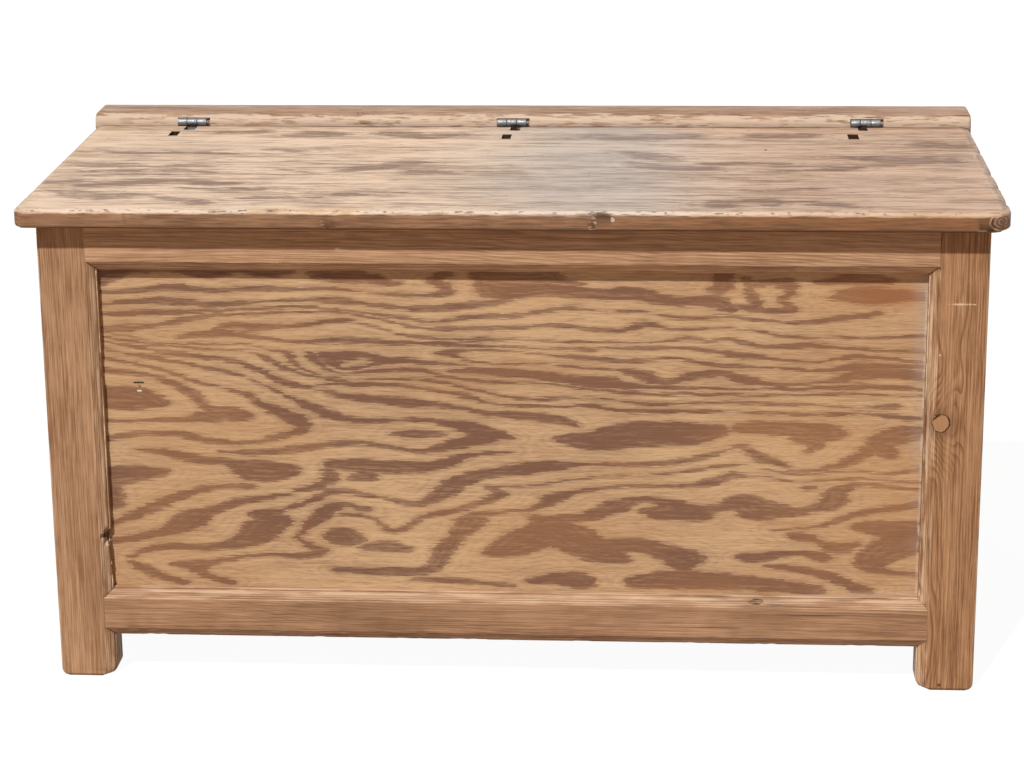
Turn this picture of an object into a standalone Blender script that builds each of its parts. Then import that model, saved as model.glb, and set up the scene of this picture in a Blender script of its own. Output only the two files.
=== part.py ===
"""Blanket chest: a joined frame-and-panel box whose lid hangs on three butt hinges."""

import math

import bmesh
import bpy
from mathutils import Matrix

# Carcass, with depths measured back from the front face of the posts
CHEST_WIDTH = 1.050
CHEST_DEPTH = 0.490
POST_HEIGHT = 0.5405
STOCK_THICK = 0.038
POST_FACE = 0.054
TOP_RAIL_FACE = 0.043
BOTTOM_RAIL_FACE = 0.038
FOOT_HEIGHT = 0.049
FOOT_ROUND = 0.007
ROUND_STEPS = 4
ROUND_PROFILE = 0.5

# Moulding stuck on the edges of posts and rails
MOULDING_WIDTH = 0.0105
MOULDING_DEPTH = 0.004
QUIRK_DEPTH = 0.001
MOULDING_SWEEP = math.radians(65)
MOULDING_STEPS = 4

# Panels and their grooves
PANEL_THICK = 0.006
GROOVE_DEPTH = 0.010
PANEL_PLAY = 0.0015

# Mortise and tenon joints
TENON_THICK = 0.012
LONG_TENON = 0.030
END_TENON = 0.024
TENON_ROOT = 0.006
HAUNCH_HEIGHT = 0.012
MORTISE_SPARE = 0.001

# Floor
CLEAT_SIZE = 0.020
CLEAT_RISE = 0.002
FLOOR_THICK = 0.012
FLOOR_BOARDS = 7
TONGUE_LENGTH = 0.005
TONGUE_THICK = 0.004

# Lid and the fixed rail behind it; insets run from an end to the middle of what is set in
LID_THICK = 0.0225
LID_FRONT_OVERHANG = 0.022
LID_END_OVERHANG = 0.020
LID_CORNER_ROUND = 0.007
LID_TOP_ROUND = 0.004
LID_UNDER_ROUND = 0.007
HINGE_RAIL_DEPTH = 0.0615
HINGE_RAIL_THICK = 0.0372
HINGE_RAIL_PAST_LID = 0.003
NOSE_ROUND = 0.007
RAIL_ARRIS_ROUND = 0.003
BATTEN_WIDTH = 0.045
BATTEN_THICK = 0.019
BATTEN_INSET = 0.245
BATTEN_END_CLEAR = 0.012
DOWEL_RADIUS = 0.004
DOWEL_LENGTH = 0.036
DOWEL_INSET = 0.150
DOWELS = 4

# Hinges, the middle one a little left of the centre line
HINGE_LEFT_INSET = 0.122
HINGE_RIGHT_INSET = 0.1265
HINGE_MIDDLE_OFFSET = -0.020
HINGE_LENGTH = 0.036
BARREL_RADIUS = 0.005
BARREL_RISE = 0.0045
MIDDLE_KNUCKLE = 0.0125
PIN_RADIUS = 0.0023
PIN_CHAMFER = 0.0005
LEAF_THICK = 0.0015
LEAF_DROP = 0.0215
LID_JOINT = 0.001
BARREL_SEAT = 0.0008
KNUCKLE_STEPS = 16
PIN_STEPS = 12

# Countersunk screws, their heads and shanks given by radius
LEAF_SCREW_HEAD = 0.0032
LEAF_SCREW_SHANK = 0.0015
LEAF_SCREW_LENGTH = 0.014
LEAF_SCREW_INSET = 0.007
BATTEN_SCREW_HEAD = 0.0038
BATTEN_SCREW_SHANK = 0.0018
BATTEN_SCREW_LENGTH = 0.030
BATTEN_SCREW_INSET = 0.063
SCREW_STEPS = 8

# Fits: touching pieces stand this far apart, and cutters run this far past what they cut
FIT = 0.0003
PAST = 0.004
WELD = 0.000001
SMOOTH_BELOW = math.radians(35)

# Sizes that follow from those above
POST_WIDTH = POST_FACE + MOULDING_WIDTH
GROOVE_WIDTH = PANEL_THICK + 2 * FIT
TOP_RAIL_HEIGHT = TOP_RAIL_FACE + MOULDING_WIDTH
BOTTOM_RAIL_HEIGHT = BOTTOM_RAIL_FACE + 2 * MOULDING_WIDTH
PANEL_LOW = FOOT_HEIGHT + BOTTOM_RAIL_HEIGHT
PANEL_HIGH = POST_HEIGHT - TOP_RAIL_HEIGHT
CLEAT_TOP = FOOT_HEIGHT + CLEAT_RISE + CLEAT_SIZE
LID_BOTTOM = POST_HEIGHT + FIT
LID_TOP = LID_BOTTOM + LID_THICK
LID_LENGTH = CHEST_WIDTH + 2 * LID_END_OVERHANG
HINGE_RAIL_FRONT = CHEST_DEPTH - HINGE_RAIL_DEPTH
AXIS_DEPTH = HINGE_RAIL_FRONT - LID_JOINT / 2
AXIS_HEIGHT = LID_TOP + BARREL_RISE
DOWEL_SPACING = (CHEST_WIDTH - 2 * DOWEL_INSET) / (DOWELS - 1)
HINGE_PLACES = {
    "left": HINGE_LEFT_INSET - LID_LENGTH / 2,
    "middle": HINGE_MIDDLE_OFFSET,
    "right": LID_LENGTH / 2 - HINGE_RIGHT_INSET,
}
LEAF_SCREW = (LEAF_SCREW_HEAD, LEAF_SCREW_SHANK, LEAF_SCREW_LENGTH)
BATTEN_SCREW = (BATTEN_SCREW_HEAD, BATTEN_SCREW_SHANK, BATTEN_SCREW_LENGTH)
LEAF_NEAR = FIT
LEAF_FAR = LEAF_NEAR + LEAF_THICK
FRONT_FACE = -(CHEST_DEPTH - LID_FRONT_OVERHANG) / 2

for old in list(bpy.data.objects):
    bpy.data.objects.remove(old)

parts = bpy.data.collections.new("blanket_chest")
cutters = bpy.data.collections.new("cutters")
bpy.context.scene.collection.children.link(parts)
bpy.context.scene.collection.children.link(cutters)


def finish(name, colour, roughness, metallic=0.0):
    material = bpy.data.materials.new(name)
    material.use_nodes = True
    shader = material.node_tree.nodes["Principled BSDF"]
    shader.inputs["Base Color"].default_value = (*colour, 1.0)
    shader.inputs["Roughness"].default_value = roughness
    shader.inputs["Metallic"].default_value = metallic
    return material


POST_FIR = finish("post_fir", (0.33, 0.16, 0.08), 0.55)
RAIL_FIR = finish("rail_fir", (0.35, 0.17, 0.08), 0.55)
PANEL_PLY = finish("panel_ply", (0.45, 0.22, 0.09), 0.50)
LID_FIR = finish("lid_fir", (0.50, 0.34, 0.20), 0.55)
HINGE_RAIL_FIR = finish("hinge_rail_fir", (0.48, 0.30, 0.17), 0.55)
INSIDE_PINE = finish("inside_pine", (0.58, 0.42, 0.25), 0.65)
DOWEL_BIRCH = finish("dowel_birch", (0.62, 0.48, 0.32), 0.60)
HINGE_STEEL = finish("hinge_steel", (0.42, 0.42, 0.43), 0.35, 1.0)
PIN_STEEL = finish("pin_steel", (0.36, 0.36, 0.37), 0.30, 1.0)
SCREW_STEEL = finish("screw_steel", (0.30, 0.29, 0.28), 0.45, 1.0)


def empty(name, location, parent=None):
    holder = bpy.data.objects.new(name, None)
    holder.location = location
    holder.parent = parent
    parts.objects.link(holder)
    return holder


CARCASS = empty("carcass", (0, FRONT_FACE, 0))
HINGE_LINE = empty("hinge_line", (0, AXIS_DEPTH, AXIS_HEIGHT), CARCASS)


def piece(name, mesh, material, parent=CARCASS, location=(0, 0, 0), turn=0.0):
    """One physical piece, placed in its parent's frame and turned about the vertical."""
    solid = bpy.data.objects.new(name, mesh)
    solid.location = location
    solid.rotation_euler.z = turn
    solid.parent = parent
    mesh.name = name
    mesh.materials.append(material)
    parts.objects.link(solid)
    return solid


def cutter(name, mesh, parent=CARCASS, location=(0, 0, 0), turn=0.0):
    shape = bpy.data.objects.new(name, mesh)
    shape.location = location
    shape.rotation_euler.z = turn
    shape.parent = parent
    shape.hide_render = True
    shape.display_type = "WIRE"
    cutters.objects.link(shape)
    return shape


def combine(target, other, operation="DIFFERENCE"):
    modifier = target.modifiers.new(f"{operation.lower()}_{other.name}", "BOOLEAN")
    modifier.operation = operation
    modifier.object = other


def tidied(mesh):
    """Welds the caps of a swept outline to its sides and turns every face outwards."""
    edited = bmesh.new()
    edited.from_mesh(mesh)
    bmesh.ops.remove_doubles(edited, verts=edited.verts[:], dist=WELD)
    bmesh.ops.recalc_face_normals(edited, faces=edited.faces[:])
    edited.to_mesh(mesh)
    edited.free()
    return mesh


def evaluated_mesh(guide):
    bpy.context.scene.collection.objects.link(guide)
    bpy.context.view_layer.update()
    mesh = bpy.data.meshes.new_from_object(guide.evaluated_get(bpy.context.evaluated_depsgraph_get()))
    bpy.data.objects.remove(guide)
    return tidied(mesh)


def swept(outline, length, hole=None):
    """A flat outline in XY carried along Z, half of the length to each side of z = 0."""
    curve = bpy.data.curves.new("outline", "CURVE")
    curve.dimensions = "2D"
    curve.fill_mode = "BOTH"
    curve.extrude = length / 2
    for points in filter(None, (outline, hole)):
        spline = curve.splines.new("POLY")
        spline.points.add(len(points) - 1)
        for point, (x, y) in zip(spline.points, points):
            point.co = (x, y, 0, 1)
        spline.use_cyclic_u = True
    return evaluated_mesh(bpy.data.objects.new("outline", curve))


def swept_along_x(outline, length, hole=None):
    """The same with the outline's axes laid on Y and Z, so that it runs along X."""
    mesh = swept(outline, length, hole)
    mesh.transform(Matrix(((0, 0, 1, 0), (1, 0, 0, 0), (0, 1, 0, 0), (0, 0, 0, 1))))
    return mesh


def swept_along_y(outline, length):
    """The same with the outline's axes laid on X and Z, so that it runs along Y."""
    mesh = swept(outline, length)
    mesh.transform(Matrix(((1, 0, 0, 0), (0, 0, -1, 0), (0, 1, 0, 0), (0, 0, 0, 1))))
    return mesh


def turned(profile, steps):
    """A profile of (radius, height) points, top to bottom, turned about Z."""
    mesh = bpy.data.meshes.new("profile")
    edges = [(index, index + 1) for index in range(len(profile) - 1)]
    mesh.from_pydata([(radius, 0, height) for radius, height in profile], edges, [])
    guide = bpy.data.objects.new("profile", mesh)
    screw = guide.modifiers.new("turn", "SCREW")
    screw.steps = steps
    screw.render_steps = steps
    screw.use_merge_vertices = True
    screw.merge_threshold = WELD
    return evaluated_mesh(guide)


def boxes(*corners):
    """Boxes from (low corner, high corner) pairs, in one mesh."""
    edited = bmesh.new()
    for low, high in corners:
        size = [top - bottom for bottom, top in zip(low, high)]
        middle = [(top + bottom) / 2 for bottom, top in zip(low, high)]
        place = Matrix.Translation(middle) @ Matrix.Diagonal((*size, 1))
        bmesh.ops.create_cube(edited, size=1, matrix=place)
    mesh = bpy.data.meshes.new("boxes")
    edited.to_mesh(mesh)
    edited.free()
    return mesh


def rounded(mesh, chosen, radius):
    """Rounds the edges whose two end points the test chooses."""
    edited = bmesh.new()
    edited.from_mesh(mesh)
    edges = [edge for edge in edited.edges if chosen(*(vert.co for vert in edge.verts))]
    shape = {"segments": ROUND_STEPS, "profile": ROUND_PROFILE, "affect": "EDGES"}
    bmesh.ops.bevel(edited, geom=edges, offset=radius, **shape)
    edited.to_mesh(mesh)
    edited.free()
    return mesh


def gathered(meshes):
    """Several meshes as separate solids in one mesh."""
    edited = bmesh.new()
    for mesh in meshes:
        edited.from_mesh(mesh)
    group = bpy.data.meshes.new("group")
    edited.to_mesh(group)
    edited.free()
    return group


def copies(mesh, spots):
    """Copies of one mesh at several spots, as separate solids in one mesh."""
    moved = []
    for spot in spots:
        copy = mesh.copy()
        copy.transform(Matrix.Translation(spot))
        moved.append(copy)
    return gathered(moved)


def arc(centre, radius, start, stop, steps):
    angles = [start + (stop - start) * step / steps for step in range(steps + 1)]
    return [(centre[0] + radius * math.cos(a), centre[1] + radius * math.sin(a)) for a in angles]


# Edge of the frame stock: a quirk, then an ovolo that rolls off the face, then the panel groove
def moulding():
    """Points as (distance across from the flat face, depth behind it)."""
    points = [(0.0, 0.0)]
    for step in range(MOULDING_STEPS + 1):
        turn = MOULDING_SWEEP * step / MOULDING_STEPS
        across = math.sin(turn) / math.sin(MOULDING_SWEEP)
        fall = (1 - math.cos(turn)) / (1 - math.cos(MOULDING_SWEEP))
        points.append((MOULDING_WIDTH * across, QUIRK_DEPTH + (MOULDING_DEPTH - QUIRK_DEPTH) * fall))
    return points


def stock_edge(moulded, grooved):
    """An edge from the outer face to the inner one, as (depth, distance in from the edge)."""
    points = [(0.0, 0.0)]
    if moulded:
        points = [(deep, MOULDING_WIDTH - across) for across, deep in moulding()]
    if grooved:
        near = (STOCK_THICK - GROOVE_WIDTH) / 2
        far = (STOCK_THICK + GROOVE_WIDTH) / 2
        points += [(near, 0.0), (near, GROOVE_DEPTH), (far, GROOVE_DEPTH), (far, 0.0)]
    return points + [(STOCK_THICK, 0.0)]


# Frame sides, each in its own frame: X along the side, Y inwards from its outer face
SIDES = {
    "front": {"place": (0, 0, 0), "turn": 0.0, "span": CHEST_WIDTH},
    "right": {"place": (CHEST_WIDTH / 2, CHEST_DEPTH / 2, 0), "turn": math.pi / 2, "span": CHEST_DEPTH},
    "back": {"place": (0, CHEST_DEPTH, 0), "turn": math.pi, "span": CHEST_WIDTH},
    "left": {"place": (-CHEST_WIDTH / 2, CHEST_DEPTH / 2, 0), "turn": -math.pi / 2, "span": CHEST_DEPTH},
}
for side_name, side in SIDES.items():
    long_side = side_name in ("front", "back")
    side["moulded"] = side_name != "back"
    side["stile"] = POST_WIDTH if long_side else STOCK_THICK
    side["tenon"] = LONG_TENON if long_side else END_TENON

RAILS = {
    "top": {"low": PANEL_HIGH, "high": POST_HEIGHT},
    "bottom": {"low": FOOT_HEIGHT, "high": PANEL_LOW},
}


def tenon_boxes(side, rail_name, spare):
    """The two tenons of a rail, grown by the spare room for their mortises."""
    rail = RAILS[rail_name]
    below = GROOVE_DEPTH + FIT
    above = HAUNCH_HEIGHT if rail_name == "top" else below
    depth = (STOCK_THICK - TENON_THICK) / 2 - spare
    low_z = rail["low"] + below - spare
    high_z = rail["high"] - above + spare
    shoulder = side["span"] / 2 - side["stile"]
    tip = shoulder + side["tenon"] + (MORTISE_SPARE if spare else 0.0)
    root = shoulder - TENON_ROOT
    pair = []
    for inner, outer in ((root, tip), (-tip, -root)):
        pair.append(((inner, depth, low_z), (outer, STOCK_THICK - depth, high_z)))
    return boxes(*pair)


def haunch_boxes(side):
    """Stubs on a top rail that fill the post grooves above the tenons."""
    depth = (STOCK_THICK - PANEL_THICK) / 2
    low_z = POST_HEIGHT - HAUNCH_HEIGHT - MORTISE_SPARE
    shoulder = side["span"] / 2 - side["stile"]
    tip = shoulder + GROOVE_DEPTH - FIT
    root = shoulder - TENON_ROOT
    pair = []
    for inner, outer in ((root, tip), (-tip, -root)):
        pair.append(((inner, depth, low_z), (outer, STOCK_THICK - depth, POST_HEIGHT - FIT)))
    return boxes(*pair)


def cope_outline(side, end):
    """Plan of the stile's moulded edge, which the end of a rail is coped over."""
    start = side["span"] / 2 - side["stile"]
    edge = stock_edge(side["moulded"], grooved=False)
    points = [(start + inset - FIT, deep - FIT) for deep, inset in edge]
    beyond = start + MOULDING_WIDTH + PAST
    points += [(start - FIT, STOCK_THICK + PAST), (beyond, STOCK_THICK + PAST)]
    points += [(beyond, -PAST), (points[0][0], -PAST)]
    return [(end * x, y) for x, y in points]


def rail_mesh(side, rail_name):
    rail = RAILS[rail_name]
    moulded = side["moulded"]
    panel_edge = stock_edge(moulded, grooved=True)
    plain_edge = stock_edge(False, grooved=False)
    foot_edge = stock_edge(moulded, grooved=False)
    upper, lower = (plain_edge, panel_edge) if rail_name == "top" else (panel_edge, foot_edge)
    outline = [(deep, rail["high"] - inset) for deep, inset in upper]
    outline += [(deep, rail["low"] + inset) for deep, inset in reversed(lower)]
    return swept_along_x(outline, side["span"] - 2 * (side["stile"] - MOULDING_WIDTH))


mortises = {}
for side_name, side in SIDES.items():
    place = {"location": side["place"], "turn": side["turn"]}
    copes = []
    for end_name, end in (("near", -1), ("far", 1)):
        cope = swept(cope_outline(side, end), POST_HEIGHT + 2 * PAST)
        cope.transform(Matrix.Translation((0, 0, POST_HEIGHT / 2)))
        copes.append(cutter(f"{side_name}_{end_name}_cope", cope, **place))
    for rail_name in RAILS:
        name = f"{side_name}_{rail_name}"
        rail = piece(f"{name}_rail", rail_mesh(side, rail_name), RAIL_FIR, **place)
        for cope in copes:
            combine(rail, cope)
        tenons = cutter(f"{name}_tenons", tenon_boxes(side, rail_name, 0.0), **place)
        combine(rail, tenons, "UNION")
        if rail_name == "top":
            haunches = cutter(f"{name}_haunches", haunch_boxes(side), **place)
            combine(rail, haunches, "UNION")
        mortises[name] = cutter(f"{name}_mortises", tenon_boxes(side, rail_name, FIT), **place)

    half = side["span"] / 2 - side["stile"] + GROOVE_DEPTH - PANEL_PLAY
    near = (STOCK_THICK - PANEL_THICK) / 2
    low = (-half, near, PANEL_LOW - GROOVE_DEPTH + PANEL_PLAY)
    high = (half, near + PANEL_THICK, PANEL_HIGH + GROOVE_DEPTH - PANEL_PLAY)
    piece(f"{side_name}_panel", boxes((low, high)), PANEL_PLY, **place)


# Corner posts, square to the floor, with eased feet
def post_outline(long_moulded):
    """Plan of a post from its outer corner, X and Y both inwards."""
    to_long_panel = stock_edge(long_moulded, grooved=True)
    to_end_panel = stock_edge(True, grooved=True)
    outline = [(0.0, 0.0)]
    outline += [(POST_WIDTH - inset, deep) for deep, inset in to_long_panel]
    outline += [(deep, STOCK_THICK - inset) for deep, inset in reversed(to_end_panel[:-1])]
    return outline


def foot_corners(x_sign):
    """What is rounded off the two lower corners of a foot, seen from the front."""
    meshes = []
    for corner, into in ((0.0, 1), (POST_WIDTH, -1)):
        rise = arc((FOOT_ROUND, FOOT_ROUND), FOOT_ROUND, -math.pi / 2, -math.pi, ROUND_STEPS)
        outline = rise + [(-PAST, FOOT_ROUND), (-PAST, -PAST), (FOOT_ROUND, -PAST)]
        turned_out = [(x_sign * (corner + into * x), z) for x, z in outline]
        meshes.append(swept_along_y(turned_out, 2 * (STOCK_THICK + PAST)))
    return gathered(meshes)


for long_name, y_sign, corner_y in (("front", 1, 0.0), ("back", -1, CHEST_DEPTH)):
    for end_name, x_sign in (("left", 1), ("right", -1)):
        corner = (-x_sign * CHEST_WIDTH / 2, corner_y, 0)
        outline = [(x_sign * x, y_sign * y) for x, y in post_outline(SIDES[long_name]["moulded"])]
        mesh = swept(outline, POST_HEIGHT)
        mesh.transform(Matrix.Translation((0, 0, POST_HEIGHT / 2)))
        post = piece(f"{long_name}_post_{end_name}", mesh, POST_FIR, location=corner)
        for rail_name in RAILS:
            combine(post, mortises[f"{long_name}_{rail_name}"])
            combine(post, mortises[f"{end_name}_{rail_name}"])
        corners = cutter(f"{post.name}_foot", foot_corners(x_sign), location=corner)
        combine(post, corners)


# Screws: one piece for each spot, and the same spots drill the holes
POINTING_BACK = Matrix.Rotation(math.pi / 2, 4, "X")
POINTING_FORWARD = Matrix.Rotation(-math.pi / 2, 4, "X")
POINTING_UP = Matrix.Rotation(math.pi, 4, "X")


def screw_profile(kind, grow=0.0, above=0.0):
    """Half section of a screw, head up; a hole grows all round and is carried above the surface."""
    head, shank, length = (size + grow for size in kind)
    neck = shank - head - FIT
    points = [(0.0, above), (head, above), (head, -FIT)]
    return points + [(shank, neck), (shank, -length), (0.0, -length)]


def screws(name, kind, pointing, spots, through, parent):
    drill = turned(screw_profile(kind, FIT, PAST), SCREW_STEPS)
    drill.transform(pointing)
    holes = cutter(f"{name}_holes", copies(drill, spots), parent)
    for drilled in through:
        combine(drilled, holes)
    for number, spot in enumerate(spots, 1):
        screw = turned(screw_profile(kind), SCREW_STEPS)
        screw.transform(pointing)
        piece(f"{name}_{number}", screw, SCREW_STEEL, parent, spot)


# Floor: boards laid front to back on a cleat along each bottom rail
INSIDE_HALF = CHEST_WIDTH / 2 - STOCK_THICK - FIT
INSIDE_FRONT = STOCK_THICK + FIT
INSIDE_BACK = CHEST_DEPTH - STOCK_THICK - FIT
BOARD_PITCH = 2 * INSIDE_HALF / FLOOR_BOARDS
BOARD_LOW = CLEAT_TOP + FIT


def board_outline(tongued, grooved):
    """Section of a floor board, from the joint on its left to the joint on its right."""
    right = BOARD_PITCH - FIT
    low = (FLOOR_THICK - TONGUE_THICK) / 2
    high = low + TONGUE_THICK
    outline = [(0.0, 0.0), (right, 0.0)]
    if tongued:
        reach = right + TONGUE_LENGTH
        outline += [(right, low), (reach, low), (reach, high), (right, high)]
    outline += [(right, FLOOR_THICK), (0.0, FLOOR_THICK)]
    if grooved:
        bed = TONGUE_LENGTH + FIT
        outline += [(0.0, high + FIT), (bed, high + FIT), (bed, low - FIT), (0.0, low - FIT)]
    return outline


for name, low_y in (("front", INSIDE_FRONT), ("back", INSIDE_BACK - CLEAT_SIZE)):
    low = (-INSIDE_HALF, low_y, CLEAT_TOP - CLEAT_SIZE)
    high = (INSIDE_HALF, low_y + CLEAT_SIZE, CLEAT_TOP)
    piece(f"{name}_cleat", boxes((low, high)), INSIDE_PINE)

for number in range(FLOOR_BOARDS):
    outline = board_outline(tongued=number < FLOOR_BOARDS - 1, grooved=number > 0)
    board = swept_along_y(outline, INSIDE_BACK - INSIDE_FRONT)
    place = (-INSIDE_HALF + number * BOARD_PITCH + FIT / 2, CHEST_DEPTH / 2, BOARD_LOW)
    piece(f"floor_board_{number + 1}", board, INSIDE_PINE, location=place)

# Hinge rail: stands on the back of the carcass, dowelled to the top rail, its nose along the lid's joint
rail_half = LID_LENGTH / 2 + HINGE_RAIL_PAST_LID
rail_high = LID_BOTTOM + HINGE_RAIL_THICK
rail_low_corner = (-rail_half, HINGE_RAIL_FRONT, LID_BOTTOM)
mesh = boxes((rail_low_corner, (rail_half, CHEST_DEPTH, rail_high)))


def on_plane(axis, value):
    """A test for edges that lie in the plane where one coordinate has this value."""
    return lambda a, b: abs(a[axis] - value) < FIT and abs(b[axis] - value) < FIT


nose_top = on_plane(2, rail_high)
nose_front = on_plane(1, HINGE_RAIL_FRONT)
rounded(mesh, lambda a, b: nose_top(a, b) and nose_front(a, b), NOSE_ROUND)
for end in (-rail_half, rail_half):
    rounded(mesh, on_plane(0, end), RAIL_ARRIS_ROUND)
hinge_rail = piece("hinge_rail", mesh, HINGE_RAIL_FIR)


def dowel_profile(grow=0.0):
    radius = DOWEL_RADIUS + grow
    reach = DOWEL_LENGTH / 2 + grow
    return [(0.0, reach), (radius, reach), (radius, -reach), (0.0, -reach)]


dowel_spots = []
for number in range(DOWELS):
    x = (number - (DOWELS - 1) / 2) * DOWEL_SPACING
    dowel_spots.append((x, CHEST_DEPTH - STOCK_THICK / 2, LID_BOTTOM))
    dowel = turned(dowel_profile(), PIN_STEPS)
    piece(f"hinge_rail_dowel_{number + 1}", dowel, DOWEL_BIRCH, location=dowel_spots[-1])
dowel_holes = cutter("dowel_holes", copies(turned(dowel_profile(FIT), PIN_STEPS), dowel_spots))
combine(hinge_rail, dowel_holes)
combine(parts.objects["back_top_rail"], dowel_holes)

# Lid: one wide board in the hinge line's frame, rounded at the front and the ends
lid_half = LID_LENGTH / 2
lid_front = -LID_FRONT_OVERHANG - AXIS_DEPTH
lid_back = -LID_JOINT / 2
lid_low = LID_BOTTOM - AXIS_HEIGHT
lid_high = LID_TOP - AXIS_HEIGHT
mesh = boxes(((-lid_half, lid_front, lid_low), (lid_half, lid_back, lid_high)))


def upright_front(a, b):
    return on_plane(1, lid_front)(a, b) and abs(a.x - b.x) < FIT


def rim(height):
    """The edges at this height that don't lie along the back of the lid."""
    return lambda a, b: on_plane(2, height)(a, b) and not on_plane(1, lid_back)(a, b)


rounded(mesh, upright_front, LID_CORNER_ROUND)
rounded(mesh, rim(lid_high), LID_TOP_ROUND)
rounded(mesh, rim(lid_low), LID_UNDER_ROUND)
lid = piece("lid_board", mesh, LID_FIR, HINGE_LINE)

# Battens: cross strips with bevelled ends, screwed up into the underside of the lid
batten_front = STOCK_THICK + BATTEN_END_CLEAR - AXIS_DEPTH
batten_back = CHEST_DEPTH - max(STOCK_THICK, HINGE_RAIL_DEPTH) - BATTEN_END_CLEAR - AXIS_DEPTH
batten_top = lid_low - FIT
batten_low = batten_top - BATTEN_THICK
bevel = BATTEN_THICK / 2
front_end = [(batten_front, batten_top), (batten_front, batten_low + bevel)]
underside = [(batten_front + bevel, batten_low), (batten_back - bevel, batten_low)]
back_end = [(batten_back, batten_low + bevel), (batten_back, batten_top)]
for name, x in (("left", BATTEN_INSET - lid_half), ("right", lid_half - BATTEN_INSET)):
    strip = swept_along_x(front_end + underside + back_end, BATTEN_WIDTH)
    batten = piece(f"lid_batten_{name}", strip, INSIDE_PINE, HINGE_LINE, (x, 0, 0))
    spots = []
    for y in (batten_front + BATTEN_SCREW_INSET, batten_back - BATTEN_SCREW_INSET):
        spots.append((x, y, batten_low + FIT))
    screws(f"batten_{name}_screw", BATTEN_SCREW, POINTING_UP, spots, [lid, batten], HINGE_LINE)


# Butt hinges: leaves let into the lid's back edge and the rail's front, barrel standing on the joint
def leaf_outline(side):
    """Section of a leaf about the hinge line: a plate curled at its top into a knuckle."""
    start = -math.acos(LEAF_FAR / BARREL_RADIUS)
    stop = 2 * math.pi - math.acos(LEAF_NEAR / BARREL_RADIUS)
    curl = arc((0, 0), BARREL_RADIUS, start, stop, KNUCKLE_STEPS)
    outline = [(LEAF_NEAR, -LEAF_DROP), (LEAF_FAR, -LEAF_DROP), *curl]
    return [(side * y, z) for y, z in outline]


def knuckle_gaps(*spans):
    """What is notched out of a leaf, from the barrel's underside up, for the other leaf's knuckles."""
    reach = BARREL_RADIUS + PAST
    low = -BARREL_RADIUS - FIT
    return boxes(*(((start, -reach, low), (stop, reach, reach)) for start, stop in spans))


half_middle = MIDDLE_KNUCKLE / 2
past_end = HINGE_LENGTH / 2 + PAST
NOTCHES = {
    "rail": [(-half_middle - FIT, half_middle + FIT)],
    "lid": [(-past_end, -half_middle), (half_middle, past_end)],
}
LEAVES = {"rail": (1, POINTING_BACK, hinge_rail), "lid": (-1, POINTING_FORWARD, lid)}
bore = arc((0, 0), PIN_RADIUS + FIT, 0, 2 * math.pi, PIN_STEPS)[:-1]
pin_half = HINGE_LENGTH / 2
shoulder = pin_half - PIN_CHAMFER
pin_neck = PIN_RADIUS - PIN_CHAMFER
pin_profile = [(0.0, pin_half), (pin_neck, pin_half), (PIN_RADIUS, shoulder), (PIN_RADIUS, -shoulder)]
pin_profile += [(pin_neck, -pin_half), (0.0, -pin_half)]
barrel_seat = arc((0, 0), BARREL_RADIUS + BARREL_SEAT, 0, 2 * math.pi, KNUCKLE_STEPS)[:-1]
seat_half = HINGE_LENGTH / 2 + FIT
leaf_reach = LEAF_FAR + FIT
leaf_seat = ((-seat_half, -leaf_reach, -LEAF_DROP - FIT), (seat_half, leaf_reach, -BARREL_RADIUS / 2))
screw_height = -(LEAF_DROP + BARREL_RADIUS) / 2
screw_out = HINGE_LENGTH / 2 - LEAF_SCREW_INSET

for hinge_name, x in HINGE_PLACES.items():
    spot = (x, 0, 0)
    seats = {"barrel_seat": swept_along_x(barrel_seat, 2 * seat_half), "leaf_seat": boxes(leaf_seat)}
    for seat_name, seat_mesh in seats.items():
        seat = cutter(f"{hinge_name}_{seat_name}", seat_mesh, HINGE_LINE, spot)
        combine(lid, seat)
        combine(hinge_rail, seat)
    for leaf_name, (side, pointing, wood) in LEAVES.items():
        name = f"hinge_{hinge_name}_{leaf_name}"
        mesh = swept_along_x(leaf_outline(side), HINGE_LENGTH, bore)
        leaf = piece(f"{name}_leaf", mesh, HINGE_STEEL, HINGE_LINE, spot)
        notch = cutter(f"{name}_notch", knuckle_gaps(*NOTCHES[leaf_name]), HINGE_LINE, spot)
        combine(leaf, notch)
        spots = []
        for offset in (-screw_out, screw_out):
            spots.append((x + offset, side * (LEAF_NEAR + FIT), screw_height))
        screws(f"{name}_screw", LEAF_SCREW, pointing, spots, [wood, leaf], HINGE_LINE)
    pin = turned(pin_profile, PIN_STEPS)
    pin.transform(Matrix.Rotation(math.pi / 2, 4, "Y"))
    piece(f"hinge_{hinge_name}_pin", pin, PIN_STEEL, HINGE_LINE, spot)

# Round pieces are shaded smooth up to their sharp edges
for solid in parts.objects:
    if solid.type == "MESH":
        solid.data.shade_smooth()
        solid.data.set_sharp_from_angle(angle=SMOOTH_BELOW)
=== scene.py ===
"""Looks of a blanket chest: a worn fir frame, wild-grained plywood panels, a level lid and steel hinges."""

import math
from contextlib import contextmanager

import bmesh
import bpy
import numpy as np
from mathutils import Matrix, Vector, noise


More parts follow.
